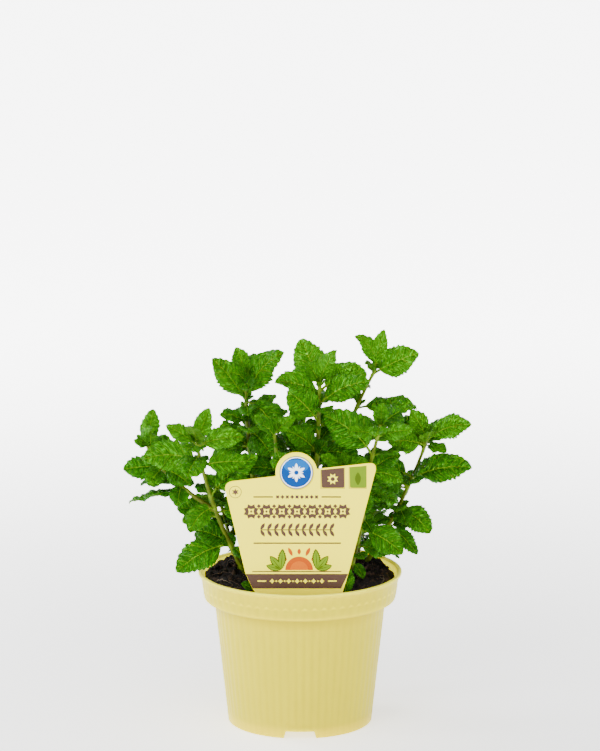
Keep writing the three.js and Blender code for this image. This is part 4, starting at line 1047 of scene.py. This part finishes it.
def label_print(settings):
    """A generic design in the label's colours: a rosette in the lobe, a frieze of stars, one of leaves, a
    half sun between two sprigs, two tabs, a seal, and a band with dots."""
    inks = ("brown", "blue", "green", "orange", "inner_orange", "card")
    brown, blue, green, orange, inner_orange, card = (np.array(getattr(settings, ink)) for ink in inks)
    white, shade = np.array([0.8, 0.84, 0.86]), card * np.array([0.62, 0.58, 0.5])
    middle = LABEL["centre"]
    p = Print()
    # rosette
    cx, cz = middle + LABEL_LOBE["x"], LABEL_LOBE["z"]
    p.disc(cx + 0.3, cz - 0.4, 9.9, shade, 1, 72)
    for level, radius, ink in ((2, 9.6, blue * 0.7), (3, 9.15, white), (4, 8.6, blue)):
        p.disc(cx, cz, radius, ink, level, 72)
    p.add([cx, cz + 3.9] + [7.2, 3.9] * circle_points(0, 0, 1, 40), blue + [0.0, 0.05, 0.12], 5)
    for turn in range(0, 360, 60):
        p.petal(cx, cz, 5.6, 0.95, turn + 30, white, 6)
        p.petal(cx, cz, 4.2, 0.5, turn, white * 0.9, 7)
    p.disc(cx, cz, 1.3, blue, 8, 32)
    # band at the soil
    p.add([(-31.3, 100.1), (-27.4, 91.4), (23.8, 91.4), (27.8, 100.1)], brown, 1)
    for x in (-24.5, 16.2):
        p.bar(x, x + 5.0, 95.5, 96.2, card, 2)
    for k in range(-6, 7):
        if k % 2:
            p.disc(middle + 2.4 * k, 95.8, 0.5, card, 2, 16)
        else:
            p.star(middle + 2.4 * k, 95.8, 1.5, 0.85, 4, card, 2)
    # tabs
    p.add([(11.7, 150.6), (25.9, 150.6), (25.9, 163.2), (11.7, 161.8)], shade, 1)
    tab = [(12.5, 151.9), (13.4, 151.2), (24.9, 151.2), (25.5, 151.9), (25.4, 163.1), (12.1, 161.8)]
    p.add(tab, brown, 2)
    p.star(18.8, 156.4, 3.4, 2.0, 8, card, 3, 22.5)
    p.disc(18.8, 156.4, 1.2, brown, 4, 24)
    p.add([(28.0, 150.6), (38.4, 150.6), (38.4, 164.3), (28.0, 163.4)], shade, 1)
    tab = [(28.8, 151.9), (29.6, 151.2), (37.4, 151.2), (38.2, 151.9), (38.1, 164.2), (28.4, 163.3)]
    p.add(tab, green, 2)
    p.petal(33.3, 152.8, 7.6, 1.7, 90, green * 0.45, 3)
    # seal
    for level, radius, ink in ((1, 3.6, brown * 1.5), (2, 3.25, card)):
        p.disc(-37.2, 148.7, radius, ink, level, 40)
    p.star(-37.2, 148.7, 2.2, 1.1, 6, brown * 1.2, 3, 30)
    # rules, with diamonds between the upper two
    for x0, x1, z in ((-26.8, -15.6, 145.4), (12.4, 23.6, 145.4), (-26.8, 23.6, 118.0)):
        p.bar(x0, x1, z, z + 0.8, brown)
    for k in range(-4, 5):
        p.star(middle + 2.8 * k, 145.8, 1.35, 0.8, 4, brown, 1, 0 if k % 2 else 45)
    # frieze of stars and diamonds
    for k in range(-3, 4):
        x = middle + 8.8 * k
        p.star(x, 137.2, 4.7, 3.3, 8, brown, 1, 22.5)
        p.star(x, 137.2, 2.5, 1.3, 4, card, 2, 45)
        p.disc(x, 137.2, 0.7, brown, 3, 20)
        for lift in (-3.1, 3.1) if k < 3 else ():
            p.star(x + 4.4, 137.2 + lift, 1.3, 0.9, 4, brown)
    # frieze of paired leaves on a line
    p.bar(middle - 20.6, middle + 20.6, 126.0, 126.6, brown)
    for k in range(-5, 6):
        for turn in (58, -58):
            p.petal(middle + 4.0 * k - 1.1, 126.3, 4.7, 0.95, turn, brown, 2, 14)
    # half sun
    sx, sz = middle + 1.2, 102.4
    for level, radius, lift, ink in ((2, 8.0, 2.4, orange), (3, 5.2, 1.5, inner_orange)):
        p.add(flat_arc(sx, sz, radius, 0, 180, 40), ink, level, centre=(sx, sz + lift))
    for ray, turn in enumerate(range(15, 180, 25)):
        t = np.radians(turn)
        p.petal(sx + 9.2 * np.cos(t), sz + 9.2 * np.sin(t), 3.6 if ray % 2 else 5.6, 1.0, turn, orange, 1, 12)
    # sprigs
    for hand in (-1, 1):
        x, z = sx + hand * 10.4, 102.6
        for turn, length, wide in ((-4, 12.5, 2.4), (38, 10.5, 2.2), (74, 9.0, 2.0)):
            angle = 90 - hand * turn
            right, up = 0.4 * np.cos(np.radians(angle)), 0.4 * np.sin(np.radians(angle))
            p.petal(x, z, length, wide, angle, green * 0.22, 4, 19, 0.12)
            p.petal(x + right, z + up, length * 0.9, wide * 0.72, angle, green * 1.15, 5, 19, 0.10)
            p.petal(x, z, length * 0.85, 0.16, angle, green * 0.22, 6, 8)
    p.bar(-27.5, 23.9, 101.2, 101.8, brown)
    return np.concatenate(p.points), p.faces, np.concatenate(p.tones)


# Mint: where stems and leaves go

def stem_line(stem, t):
    """Points of a stem's curve from foot over its control point to its tip: (1-t)^2 a + 2t(1-t) b + t^2 c."""
    t = np.asarray(t, float)[..., None]
    foot, tip = stem["foot"], stem["tip"]
    control = foot + (tip - foot) * np.array([stem["lean"], stem["lean"], 0.5])
    return (1 - t) ** 2 * foot + 2 * t * (1 - t) * control + t * t * tip


def stem_ahead(stem, t):
    """Direction of a stem's curve, from just below to just above."""
    return unit(stem_line(stem, t + 0.01) - stem_line(stem, t - 0.01))


def stem_half(stem, t):
    """Half the side of a square stem: it thins out to the tip, and a short one is thinner."""
    tall = np.linalg.norm(stem["tip"] - stem["foot"]) / STEM["tall"]
    return (STEM["foot"] - STEM["taper"] * t) * min(1.0, STEM["least"] + STEM["gain"] * tall)


def along(x):
    """Share of the whole midrib at the share x of the blade."""
    return LEAF["stalk"] + (1 - LEAF["stalk"]) * x


def blade_shape(x):
    """The blade's half width without its teeth, from 0 to 1: sin(pi x^0.8)^0.7."""
    return np.sin(np.pi * np.clip(x, 0, 1) ** 0.8) ** 0.7


def leaf_row(at, chord, face, look, droop, wide, **more):
    """What is known of a leaf: its place on the stem, and where and how it reaches."""
    chord = np.array(chord, float)
    return {"at": at, "chord": chord, "face": face, "look": look, "droop": droop, "wide": wide, **more}


class LeafCurves:
    """The arcs of many leaves at once. A midrib is an arc over the chord from the stem to the leaf's tip; its
    direction turns evenly from rise + half the droop to rise - half the droop."""

    def __init__(self, leaves, roots):
        known = ("chord", "face", "look", "droop", "wide")
        chord, face, look, droop, wide = (np.array([leaf[key] for leaf in leaves], float) for key in known)
        self.root = np.array(roots, float)
        self.half = np.radians(droop) / 2
        reach = np.hypot(chord[:, 0], chord[:, 1])
        self.rise = np.arctan2(chord[:, 2], reach)
        self.radius = np.linalg.norm(chord, axis=1) / 2 / np.sin(self.half)
        self.length = self.radius * 2 * self.half
        self.head = chord[:, :2] / reach[:, None]
        lean, toward, level = np.radians(face), np.radians(look), np.sin(np.radians(face))
        self.facing = np.stack([np.cos(toward) * level, np.sin(toward) * level, np.cos(lean)], -1)
        self.widest = LEAF["wide"] * wide * self.length * (1 - LEAF["stalk"])

    def frames(self, u):
        """Place, direction to the side and direction out of the upper face at the shares u of each midrib."""
        half, rise, radius = (v[:, None] for v in (self.half, self.rise, self.radius))
        a = rise + half - 2 * half * u
        r = radius * (np.sin(rise + half) - np.sin(a))
        z = radius * (np.cos(a) - np.cos(rise + half))
        head = self.head[:, None]
        ahead = np.concatenate([np.cos(a)[..., None] * head, np.sin(a)[..., None]], -1)
        side = unit(np.cross(ahead, self.facing[:, None]))
        place = self.root[:, None] + np.concatenate([r[..., None] * head, z[..., None]], -1)
        return place, side, np.cross(side, ahead)


def leaf_samples(root, leaf):
    """Forty points over a leaf, in eight rows of five, by which it is kept clear of others."""
    curves = LeafCurves([leaf], [root])
    x = 0.06 + 0.94 * np.arange(8) / 7
    place, side, normal = (v[0][:, None] for v in curves.frames(along(x)[None]))
    q = ((curves.widest[0] * blade_shape(x))[:, None] * np.array([-1, -0.5, 0, 0.5, 1]))[..., None]
    return (place + q * side + LEAF["fold"] * np.abs(q) * normal).reshape(-1, 3)


def is_blocked(points):
    """Whether any point lies at the label's plate, about the pot's rim or on the soil."""
    x, y, z = points.T
    r = np.hypot(x, y)
    middle, (rim_from, rim_to) = LABEL["front"] + LABEL["thick"] / 2, NO_LEAF["rim"]
    at_label = (np.abs(x - LABEL["centre"]) < NO_LEAF["label_half"]) & (z < NO_LEAF["label_top"])
    at_label &= np.abs(y - middle) < NO_LEAF["label_off"]
    at_rim = (r > rim_from) & (r < rim_to) & (z < POT_HEIGHT + NO_LEAF["rim_over"])
    return bool(np.any(at_label | at_rim | ((r < NO_LEAF["soil"]) & (z < POT_HEIGHT))))


def turned_chord(chord, turn, lift):
    """The chord turned about the upright by turn and raised by lift, in degrees."""
    x, y, z = chord
    reach = np.hypot(x, y)
    span, angle = np.hypot(reach, z), np.arctan2(y, x) + np.radians(turn)
    rise = np.arctan2(z, reach) + np.radians(lift)
    return span * np.array([np.cos(rise) * np.cos(angle), np.cos(rise) * np.sin(angle), np.sin(rise)])


def settle(root, leaf, others, reach):
    """The first turn and lift that keep the leaf clear of what is there, or nothing if it finds no room."""
    for lift in LIFTS:
        for turn in TURNS:
            turned = turn or lift
            trial = dict(leaf, chord=turned_chord(leaf["chord"], turn, lift) if turned else leaf["chord"])
            points = leaf_samples(root, trial)
            if is_blocked(points):
                continue
            apart = ((points[:, None] - others[None]) ** 2).sum(-1)
            if not np.any(apart < reach * reach):
                return trial, points
    return None


def front_shoots():
    """The stems of the table by shoot, each with its leaves."""
    shoots = {}
    for name, foot, tip, lean, rows in SHOOTS:
        stems = shoots.setdefault(name, [])
        foot = stem_line(stems[0], foot) if stems else np.array(foot, float)
        leaves = [leaf_row(at, (x, y, z), face, TO_VIEWER, droop, wide)
                  for at, x, y, z, face, droop, wide in rows]
        stems.append({"foot": foot, "tip": np.array(tip, float), "lean": lean, "leaves": leaves})
    return list(shoots.items())


def rear_shoots():
    """The rear stems, from one seeded run of chance numbers, each 48271 times the last, modulo 2^31 - 1."""
    seed = REAR["seed"]

    def chance(low, high):
        nonlocal seed
        seed = (seed * 48271) % 2147483647
        return low + (high - low) * seed / 2147483647

    def out(degrees):
        return np.array([np.cos(np.radians(degrees)), np.sin(np.radians(degrees))])

    shoots = []
    for k in range(REAR["count"]):
        angle = REAR["first"] + (REAR["last"] - REAR["first"]) * k / (REAR["count"] - 1) + chance(-3, 3)
        kind = k % 2
        back, height = [0, REAR["back"]], REAR["height"][kind] + chance(-5, 5)
        foot = np.array([*(REAR["foot"][kind] * out(angle) + back), SOIL["top"]])
        tip = np.array([*(REAR["reach"][kind] * out(angle) + back), height])
        leaves = []
        for i, at in enumerate(REAR["nodes"][kind]):
            pair = angle + 90 * (i + kind) + chance(-15, 15)
            for turn in (pair, pair + 180):
                size = REAR["sizes"][i] * chance(0.85, 1.12)
                rise = np.radians(REAR["rises"][i] + chance(-8, 8))
                chord = (*(size * np.cos(rise) * out(turn)), size * np.sin(rise))
                leaves.append(leaf_row(at, chord, REAR["face"], angle, chance(30, 55), chance(0.95, 1.15)))
        stem = {"foot": foot, "tip": tip, "lean": REAR["lean"], "leaves": leaves}
        shoots.append((f"stem_rear_{k + 1}", [stem]))
    return shoots


def settled_shoots():
    """Every shoot with only the leaves that find room, each turned clear of those that grew before it. Leaves
    keep clear of their own shoot's by the outer half of those."""
    shoots = front_shoots() + rear_shoots()
    shares = np.arange(41) / 40
    taken = [(stem_line(stem, shares), np.full(41, CLEAR["stem"]), owner)
             for owner, (_, stems) in enumerate(shoots) for stem in stems]
    for owner, (_, stems) in enumerate(shoots):
        others = np.concatenate([p for p, _, whose in taken if whose != owner])
        reach = np.concatenate([r for _, r, whose in taken if whose != owner])
        for stem in stems:
            stem["kept"] = []
            for leaf in stem["leaves"]:
                root = stem_line(stem, leaf["at"])
                found = settle(root, leaf, others, reach)
                if found is None:
                    continue
                settled, points = found
                stem["kept"].append(dict(settled, root=root))
                taken.append((points, np.full(len(points), CLEAR["leaf"]), owner))
                outer = points[len(points) // 2:]
                others = np.concatenate([others, outer])
                reach = np.concatenate([reach, np.full(len(outer), CLEAR["own"])])
    return shoots


def lesser_leaves(shoots):
    """The lesser leaves of the tables, in each stem's list "lesser"; those of the back look backwards."""
    for name, stems in shoots:
        places = [[(stem_line(stem, row[0]), row[1:]) for row in rows]
                  for stem, rows in zip(stems, LESSER[name])]
        places[0] += [(np.array(foot, float), row) for shoot, foot, row in SPROUTS if shoot == name]
        for stem, some in zip(stems, places):
            stem["lesser"] = []
            for root, (x, y, z, face, droop) in some:
                look = TO_VIEWER if root[1] < LESSER_LEAF["back"] else -TO_VIEWER
                row = leaf_row(0.5, (x, y, z), face, look, droop, LESSER_LEAF["wide"], root=root)
                stem["lesser"].append(row)


# Mint: fine stems and leaves

def tooth_saw(phase):
    """A saw from 0 to 1 over each tooth: it climbs to a crest at 0.72 and falls straight back."""
    return np.where(phase < 0.72, (phase / 0.72) ** 0.6, (1 - phase) / 0.28)


def leaf_surfaces(leaves, teeth, columns, rugosity, rng):
    """Upper and lower faces of many leaves with as many teeth, as arrays (leaf, face, row, column).

    Out from the midrib by q, the blade rises by fold |q|, arches between midrib and edge, droops and waves at
    the edge, twists a little to the tip, sinks along its midrib and its side veins, and bulges between them.
    Its half width is the blade's shape times 1 plus a saw of teeth, which is turned by 0.44 of a tooth from
    one side to the other. The stalk is a flattened round that runs into the blade."""
    n = len(leaves)
    curves = LeafCurves(leaves, [leaf["root"] for leaf in leaves])
    even = np.concatenate([STALK_ROWS, ((np.arange(teeth)[:, None] + TOOTH_ROWS) / teeth).ravel(), [1.0]])
    phase = np.concatenate([0 * STALK_ROWS, np.tile(TOOTH_ROWS, teeth), [1.0]])
    rows, cols = len(even), len(columns)
    x = np.tile(even, (n, 1))
    beat, start = rng.uniform(1.2, 2.6, (n, 1)), rng.uniform(0, 2 * np.pi, (n, 1))
    x = np.where(x > 0, x + 0.05 * np.clip(x, 0, 1) * (1 - x) * np.sin(2 * np.pi * beat * x + start), x)
    v = columns[None, None]
    right = np.broadcast_to(v > 0, (n, rows, cols))
    fade = smooth(0.02, 0.14, x)
    size = np.clip(curves.length / 30, 0.25, 1.15)[:, None, None]
    widest = curves.widest[:, None]
    stalk_half = np.clip(0.028 * curves.length, 0.35, 0.8)[:, None]
    edges, teeth_out, ends = [], [], ((0, 0), (len(STALK_ROWS), 1))
    for side, saw in enumerate((tooth_saw(phase), tooth_saw((phase + BLADE["apart"]) % 1))):
        jitter = np.repeat(rng.uniform(*BLADE["differ"], (n, teeth)), len(TOOTH_ROWS), axis=1)
        jitter = np.pad(jitter, ends, constant_values=1)
        spot = np.stack([x * 3.1, np.full_like(x, side * 9.0), np.arange(n)[:, None] + 0 * x], -1)
        lobes = noise(spot, 1.0, 31)
        edge = 1 + BLADE["teeth"] * fade * jitter * (saw - 0.5) + BLADE["lobes"] * fade * lobes
        edge = widest * blade_shape(x) * edge * BLADE["broaden"]
        edges.append(np.maximum(edge, np.where(x < 0.1, stalk_half, 0.10))[..., None])
        teeth_out.append((saw * jitter)[..., None])
    q_edge, tooth = np.where(right, *edges), np.where(right, *teeth_out)
    x = x[..., None]
    ahead_shift = BLADE["forward"] / teeth * fade[..., None] * tooth * np.abs(v) ** 5
    ahead_shift = ahead_shift * (1 - smooth(0.93, 1.0, x))
    u = np.clip(along(np.clip(x, -0.19, 1)) + ahead_shift, 0.0, 1.0)
    place, side, normal = (a.reshape(n, rows, cols, 3) for a in curves.frames(u.reshape(n, -1)))
    q, inner = q_edge * v, np.abs(v)
    widest, length = widest[..., None], curves.length[:, None, None]
    base = place + q[..., None] * side
    blade = smooth(-0.02, 0.05, x)
    fold = LEAF["fold"] * (np.sqrt(q * q + 0.3 * size ** 2) - 0.55 * size)
    arch = BLADE["arch"] * q_edge * inner * (1 - inner)
    droop = -BLADE["droop"] * q_edge * inner ** 4
    twist = rng.uniform(-BLADE["twist"], BLADE["twist"], (n, 1, 1)) * q * smooth(0.1, 1.0, x)
    roll = rng.uniform(0, 2 * np.pi, (n, 1, 1)) + np.where(v < 0, 1.7, 0.0)
    wave = rng.uniform(1.5, 2.6, (n, 1, 1))
    ripple = BLADE["wave"] * q_edge * inner ** 2.5 * np.sin(2 * np.pi * wave * x + roll)
    slant = x - VEINS["slant"] * np.abs(q) / widest
    vein = 1 - np.abs(np.sin(np.pi * VEINS["count"] * slant)) ** 0.5
    crinkled = np.stack([slant * length / 1.5, q / 3.4, 7.0 * np.arange(n)[:, None, None] + 0 * q], -1)
    quilt = BLADE["bulges"] * noise(crinkled, 1.0, 11) + BLADE["small_bulges"] * noise(base, 2.8, 12)
    bulge = rugosity * size * blade * (1 - 0.5 * inner ** 3) * (quilt - BLADE["veins"] * vein)
    groove = BLADE["groove"] * size * blade * np.exp(-(q / (0.5 * size)) ** 2)
    rib = BLADE["rib"] * size * np.exp(-(q / (0.55 * size)) ** 2) * (1 - 0.65 * smooth(0.1, 1.0, x)) * blade
    stalk_thick = 0.75 * stalk_half[..., None] * np.sqrt(np.clip(1 - inner ** 2, 0.03, 1))
    thick = blade * (0.13 + 0.08 * size * (1 - inner)) + (1 - blade) * stalk_thick
    middle = fold + (arch + droop + ripple + twist) * blade
    faces = (middle + thick + bulge - groove, middle - thick + 0.8 * bulge - rib)
    points = np.stack([base + height[..., None] * normal for height in faces], 1)
    uv = np.stack([np.broadcast_to(x, q.shape), 0.5 + 0.5 * q / widest], -1)
    return points, np.repeat(uv[:, None], 2, axis=1)


def leaf_faces(rows, cols):
    """Quads of one leaf: its upper face, its lower face turned over, and the rim between them."""
    size = rows * cols
    top = grid_faces(rows, cols)
    i, j = np.arange(rows - 1) * cols, np.arange(cols - 1)
    left = np.stack([i, i + cols, i + cols + size, i + size], -1)
    start = np.stack([j, j + size, j + 1 + size, j + 1], -1)
    right, end = left[:, [0, 3, 2, 1]] + cols - 1, start[:, [0, 3, 2, 1]] + (rows - 1) * cols
    return np.concatenate([top, top[:, ::-1] + size, left, right, start, end])


def stem_frame(ahead):
    """Two directions across a stem that don't turn along it, the first of them square to (0.6, 0.8, 0)."""
    across = unit(np.cross(np.broadcast_to([0.6, 0.8, 0.0], ahead.shape), ahead))
    return across, np.cross(ahead, across)


def stem_surface(stem, rooted, sides=16, steps=56):
    """A square stem with rounded corners and hollow sides: radius half (|cos|^5 + |sin|^5)^(-1/5), swollen at
    its joints, and straight down below the soil if it has a root."""
    t = np.linspace(0, 1, steps + 1)
    line, ahead, half = stem_line(stem, t), stem_ahead(stem, t), stem_half(stem, t)
    joints = np.array(sorted({leaf["at"] for leaf in stem["kept"]}) or [0.5])
    length = np.linalg.norm(stem["tip"] - stem["foot"])
    swell = np.exp(-((t[:, None] - joints) * length / 1.6) ** 2).max(1)
    half = 0.8 * half * (1 + 0.28 * swell) * np.where(t > 0.985, 0.75, 1)
    if rooted:
        ahead[0] = unit(ahead[0] + UP)
        line = np.vstack([line[0] - STEM["root"] * UP, line[0] - 6.0 * UP, line])
        ahead = np.vstack([UP, UP, ahead])
        half = np.concatenate([half[:1], half[:1], half])
        swell, t = (np.concatenate([[0, 0], row]) for row in (swell, t))
    a = full_turn(sides)
    square = (np.abs(np.cos(a)) ** 5 + np.abs(np.sin(a)) ** 5) ** (-1 / 5) * (1 - 0.07 * np.cos(2 * a) ** 2)
    rings = tube_rings(line, *stem_frame(ahead), half[:, None] * square)
    points = np.concatenate([rings.reshape(-1, 3), line[:1], line[-1:] + ahead[-1:] * half[-1]])
    last, ring = (len(line) - 1) * sides, np.arange(sides)
    faces = [grid_faces(len(line), sides, round_columns=True), fan_faces(ring, last + sides, flip=True),
             fan_faces(last + ring, last + sides + 1)]
    share, bulge = (np.concatenate([np.repeat(row, sides), ends])
                    for row, ends in ((t, [0, 1]), (swell, [0, 0])))
    return points, faces, share, bulge


def hair_spikes(stem, count, rng):
    """Fine hairs: three-sided spikes 0.6 to 1.1 mm long that stand out from the stem and lean to its tip."""
    t = rng.uniform(0.03, 0.98, count)
    ahead = stem_ahead(stem, t)
    across, back = stem_frame(ahead)
    a = rng.uniform(0, 2 * np.pi, count)[:, None]
    out = across * np.cos(a) + back * np.sin(a)
    foot = stem_line(stem, t) + out * (stem_half(stem, t) * 0.72)[:, None]
    tip = foot + (out + HAIR["lean"] * ahead) * rng.uniform(*HAIR["long"], count)[:, None]
    around = np.cross(ahead, out)
    base = [foot + HAIR["half"] * (ahead * np.cos(b) + around * np.sin(b)) for b in (0, 2.094, 4.189)]
    faces = copied_faces(np.array([(0, 1, 3), (1, 2, 3), (2, 0, 3), (2, 1, 0)]), count, 4)
    return np.stack([*base, tip], 1).reshape(-1, 3), faces, np.repeat(t, 4)


def young_leaves(stem, rng):
    """Small leaves: in most axils of the larger leaves, and a bud of four at the stem's tip."""
    made = []
    for leaf in stem["kept"]:
        if (np.linalg.norm(leaf["chord"]) < AXIL["least"] or leaf["at"] > AXIL["highest"]
                or rng.random() < AXIL["missing"]):
            continue
        chord = unit(leaf["chord"]) * 0.55 + stem_ahead(stem, leaf["at"]) * 0.85 + rng.normal(0, 0.18, 3)
        chord = unit(chord) * rng.uniform(*AXIL["long"])
        made.append(dict(leaf, chord=chord, droop=rng.uniform(25, 60), wide=rng.uniform(0.85, 1.05),
                         face=leaf["face"] * 0.7 + 10, young=AXIL["young"]))
    at = BUD["at"]
    tip, ahead, start = stem_line(stem, at), stem_ahead(stem, at), rng.uniform(0, 360)
    for k, (forward, long) in enumerate(BUD["leaves"]):
        a = np.radians(start + 90 * k)
        chord = unit(ahead * forward + 0.55 * np.array([np.cos(a), np.sin(a), 0]))
        chord = chord * long * rng.uniform(0.85, 1.15)
        look = TO_VIEWER if tip[1] < BUD["back"] else -TO_VIEWER
        made.append(leaf_row(at, chord, 35, look, 35, 0.95, root=tip, young=1.0))
    return made


def shoot_mesh(stems, settings, seed):
    """One shoot: its stems with their hairs, its leaves by size, and its young leaves, in one mesh. The three
    tones are age, joint and place on a stem, and tint, youth and underside on a leaf."""
    rng = np.random.default_rng(seed)
    points, groups, uvs, tones, kinds = [], [], [], [], []

    def gather(new_points, new_faces, uv, tone, kind):
        count = sum(len(some) for some in points)
        groups.extend(group + count for group in new_faces)
        kinds.extend(np.full(len(group), kind) for group in new_faces)
        points.append(new_points)
        uvs.append(uv)
        tones.append(tone)

    woody = rng.uniform(0.15, 0.75)
    for order, stem in enumerate(stems):
        surface, faces, share, bulge = stem_surface(stem, order == 0)
        tone = np.column_stack([woody * (1 - 0.75 * share), bulge, share])
        gather(surface, faces, np.zeros((len(surface), 2)), tone, 1)
        if settings.hairs:
            spikes, faces, share = hair_spikes(stem, settings.hairs, rng)
            tone = np.column_stack([0 * share, 0 * share + 0.9, share])
            gather(spikes, [faces], np.zeros((len(spikes), 2)), tone, 1)
    leaves = [dict(leaf, young=float(smooth(0.75, 1.0, leaf["at"])))
              for stem in stems for leaf in stem["kept"]]
    lesser = [dict(leaf, young=LESSER_LEAF["young"]) for stem in stems for leaf in stem["lesser"]]
    small = [leaf for stem in stems for leaf in young_leaves(stem, rng)]
    sorts = [([leaf for leaf in leaves if low <= np.linalg.norm(leaf["chord"]) < high], teeth, LEAF_COLUMNS)
             for low, high, teeth in LEAF_SORTS]
    sorts += [(lesser, LESSER_LEAF["teeth"], SMALL_COLUMNS), (small, AXIL["teeth"], YOUNG_COLUMNS)]
    for some, teeth, columns in sorts:
        if not some:
            continue
        surfaces, uv = leaf_surfaces(some, teeth, columns, settings.rugosity / MM, rng)
        n, _, rows, cols, _ = surfaces.shape
        faces = copied_faces(leaf_faces(rows, cols), n, 2 * rows * cols)
        tone = np.zeros((n, 2, rows, cols, 3))
        tone[..., 0] = rng.random(n)[:, None, None, None]
        tone[..., 1] = np.array([leaf["young"] for leaf in some])[:, None, None, None]
        tone[:, 1, ..., 2] = 1
        gather(surfaces.reshape(-1, 3), [faces], uv.reshape(-1, 2), tone.reshape(-1, 3), 0)
    return np.concatenate(points), groups, np.concatenate(uvs), np.concatenate(tones), np.concatenate(kinds)


# Operators

class MINT_OT_pot(bpy.types.Operator):
    """Build the nursery pot: its fluted wall with band, lip and foot, and its pierced floor"""
    bl_idname = "mint.pot"
    bl_label = "Pot"

    def execute(self, context):
        settings = context.scene.mint_pot
        material = pot_material(settings)
        add_piece("pot_wall", *pot_shell(settings), [material], "pot", ["pot"])
        pierced_floor("pot_floor", material)
        return {"FINISHED"}


class MINT_OT_soil(bpy.types.Operator):
    """Build the soil with its loose crumbs and root fibres"""
    bl_idname = "mint.soil"
    bl_label = "Soil"

    def execute(self, context):
        settings = context.scene.mint_soil
        rough, peat = settings.roughness_height / MM, soil_material(settings)
        points, faces = soil_body(rough)
        add_piece("soil_bed", points, faces, [peat], "soil", ["soil"], tones=np.zeros((len(points), 3)))
        points, faces, tones = crumb_lumps(settings.crumbs, rough)
        add_piece("soil_crumbs", points, faces, [peat], "soil", tones=tones)
        points, faces, tones = soil_fibres(settings.fibres, rough)
        add_piece("soil_fibres", points, faces, [fibre_material(settings)], "soil", tones=tones)
        return {"FINISHED"}


class MINT_OT_label(bpy.types.Operator):
    """Build the stick-in label and its generic printed ornament"""
    bl_idname = "mint.label"
    bl_label = "Label"

    def execute(self, context):
        settings = context.scene.mint_label
        label_plate("label_card", card_material(settings))
        points, faces, tones = label_print(settings)
        add_piece("label_print", points, faces, [ink_material()], "label", tones=tones, flat=True)
        return {"FINISHED"}


class MINT_OT_shoots(bpy.types.Operator):
    """Build every leafy stem with toothed, veined leaves, in the places of its solid"""
    bl_idname = "mint.shoots"
    bl_label = "Leafy Stems"

    def execute(self, context):
        settings = context.scene.mint_plant
        materials = [leaf_material(settings), stem_material(settings)]
        shoots = settled_shoots()
        lesser_leaves(shoots)
        for order, (name, stems) in enumerate(shoots):
            points, faces, *by_corner = shoot_mesh(stems, settings, 100 + order)
            piece = name.replace("stem_", "mint_")
            add_piece(piece, points, faces, materials, "leaf", [name], *by_corner)
        return {"FINISHED"}


class MINT_OT_studio(bpy.types.Operator):
    """Build the pale floor, the soft lights and the camera"""
    bl_idname = "mint.studio"
    bl_label = "Studio"

    def execute(self, context):
        settings = context.scene.mint_studio

        def place(name, data):
            made = bpy.data.objects.new(name, data)
            context.collection.objects.link(made)
            return made

        mesh = bpy.data.meshes.new("studio_floor")
        corners = [(x * FLOOR_HALF, y * FLOOR_HALF, 0) for x, y in ((-1, -1), (1, -1), (1, 1), (-1, 1))]
        mesh.from_pydata(corners, [], [(0, 1, 2, 3)])
        mesh.materials.append(floor_material(settings))
        place("studio_floor", mesh)
        world = bpy.data.worlds.new("studio sky")
        world.use_nodes = True
        sky = world.node_tree.nodes["Background"]
        sky.inputs["Color"].default_value = (1.0, 1.0, 0.99, 1.0)
        sky.inputs["Strength"].default_value = settings.sky
        context.scene.world = world
        for name, (key, wide, tall, azimuth, elevation, far) in LIGHTS.items():
            a, e = np.radians(azimuth), np.radians(elevation)
            light = bpy.data.lights.new(name, "AREA")
            light.shape, light.size, light.size_y = "RECTANGLE", wide, tall
            light.energy = getattr(settings, key)
            away = np.array([np.sin(a) * np.cos(e), -np.cos(a) * np.cos(e), np.sin(e)])
            lamp = place(name, light)
            lamp.location = LIGHT_TARGET + far * away
            lamp.rotation_euler = (np.pi / 2 - e, 0, a)
        lens = bpy.data.cameras.new("photo_camera")
        lens.lens, lens.sensor_width, lens.sensor_fit, lens.clip_end = (
            CAMERA["lens"], CAMERA["sensor"], "AUTO", CAMERA["clip"])
        camera = place("photo_camera", lens)
        elevation, pitch, far = np.radians(CAMERA["elevation"]), np.radians(CAMERA["pitch"]), CAMERA["far"]
        camera.location = (0.0, -far * np.cos(elevation), POT_HEIGHT * MM + far * np.sin(elevation))
        camera.rotation_euler = (np.pi / 2 - pitch, 0, 0)
        context.scene.camera = camera
        return {"FINISHED"}


# Each operator with the name and the class of its settings
PARTS = (
    (MINT_OT_pot, "mint_pot", PotSettings),
    (MINT_OT_soil, "mint_soil", SoilSettings),
    (MINT_OT_label, "mint_label", LabelSettings),
    (MINT_OT_shoots, "mint_plant", MintSettings),
    (MINT_OT_studio, "mint_studio", StudioSettings),
)


class VIEW3D_PT_mint(bpy.types.Panel):
    """Settings and pieces of the potted mint"""
    bl_idname = "VIEW3D_PT_mint"
    bl_label = "Potted Mint"
    bl_space_type = "VIEW_3D"
    bl_region_type = "UI"
    bl_category = "Mint"

    def draw(self, context):
        for operator, key, group in PARTS:
            box = self.layout.box()
            box.operator(operator.bl_idname)
            for name in group.__annotations__:
                box.prop(getattr(context.scene, key), name)


def register():
    for operator, key, group in PARTS:
        bpy.utils.register_class(group)
        bpy.utils.register_class(operator)
        setattr(bpy.types.Scene, key, bpy.props.PointerProperty(type=group))
    bpy.utils.register_class(VIEW3D_PT_mint)


def unregister():
    bpy.utils.unregister_class(VIEW3D_PT_mint)
    for operator, key, group in reversed(PARTS):
        delattr(bpy.types.Scene, key)
        bpy.utils.unregister_class(operator)
        bpy.utils.unregister_class(group)


def main():
    register()
    bpy.ops.mint.studio()
    bpy.ops.mint.pot()
    bpy.ops.mint.soil()
    bpy.ops.mint.label()
    bpy.ops.mint.shoots()


if __name__ == "__main__":
    main()
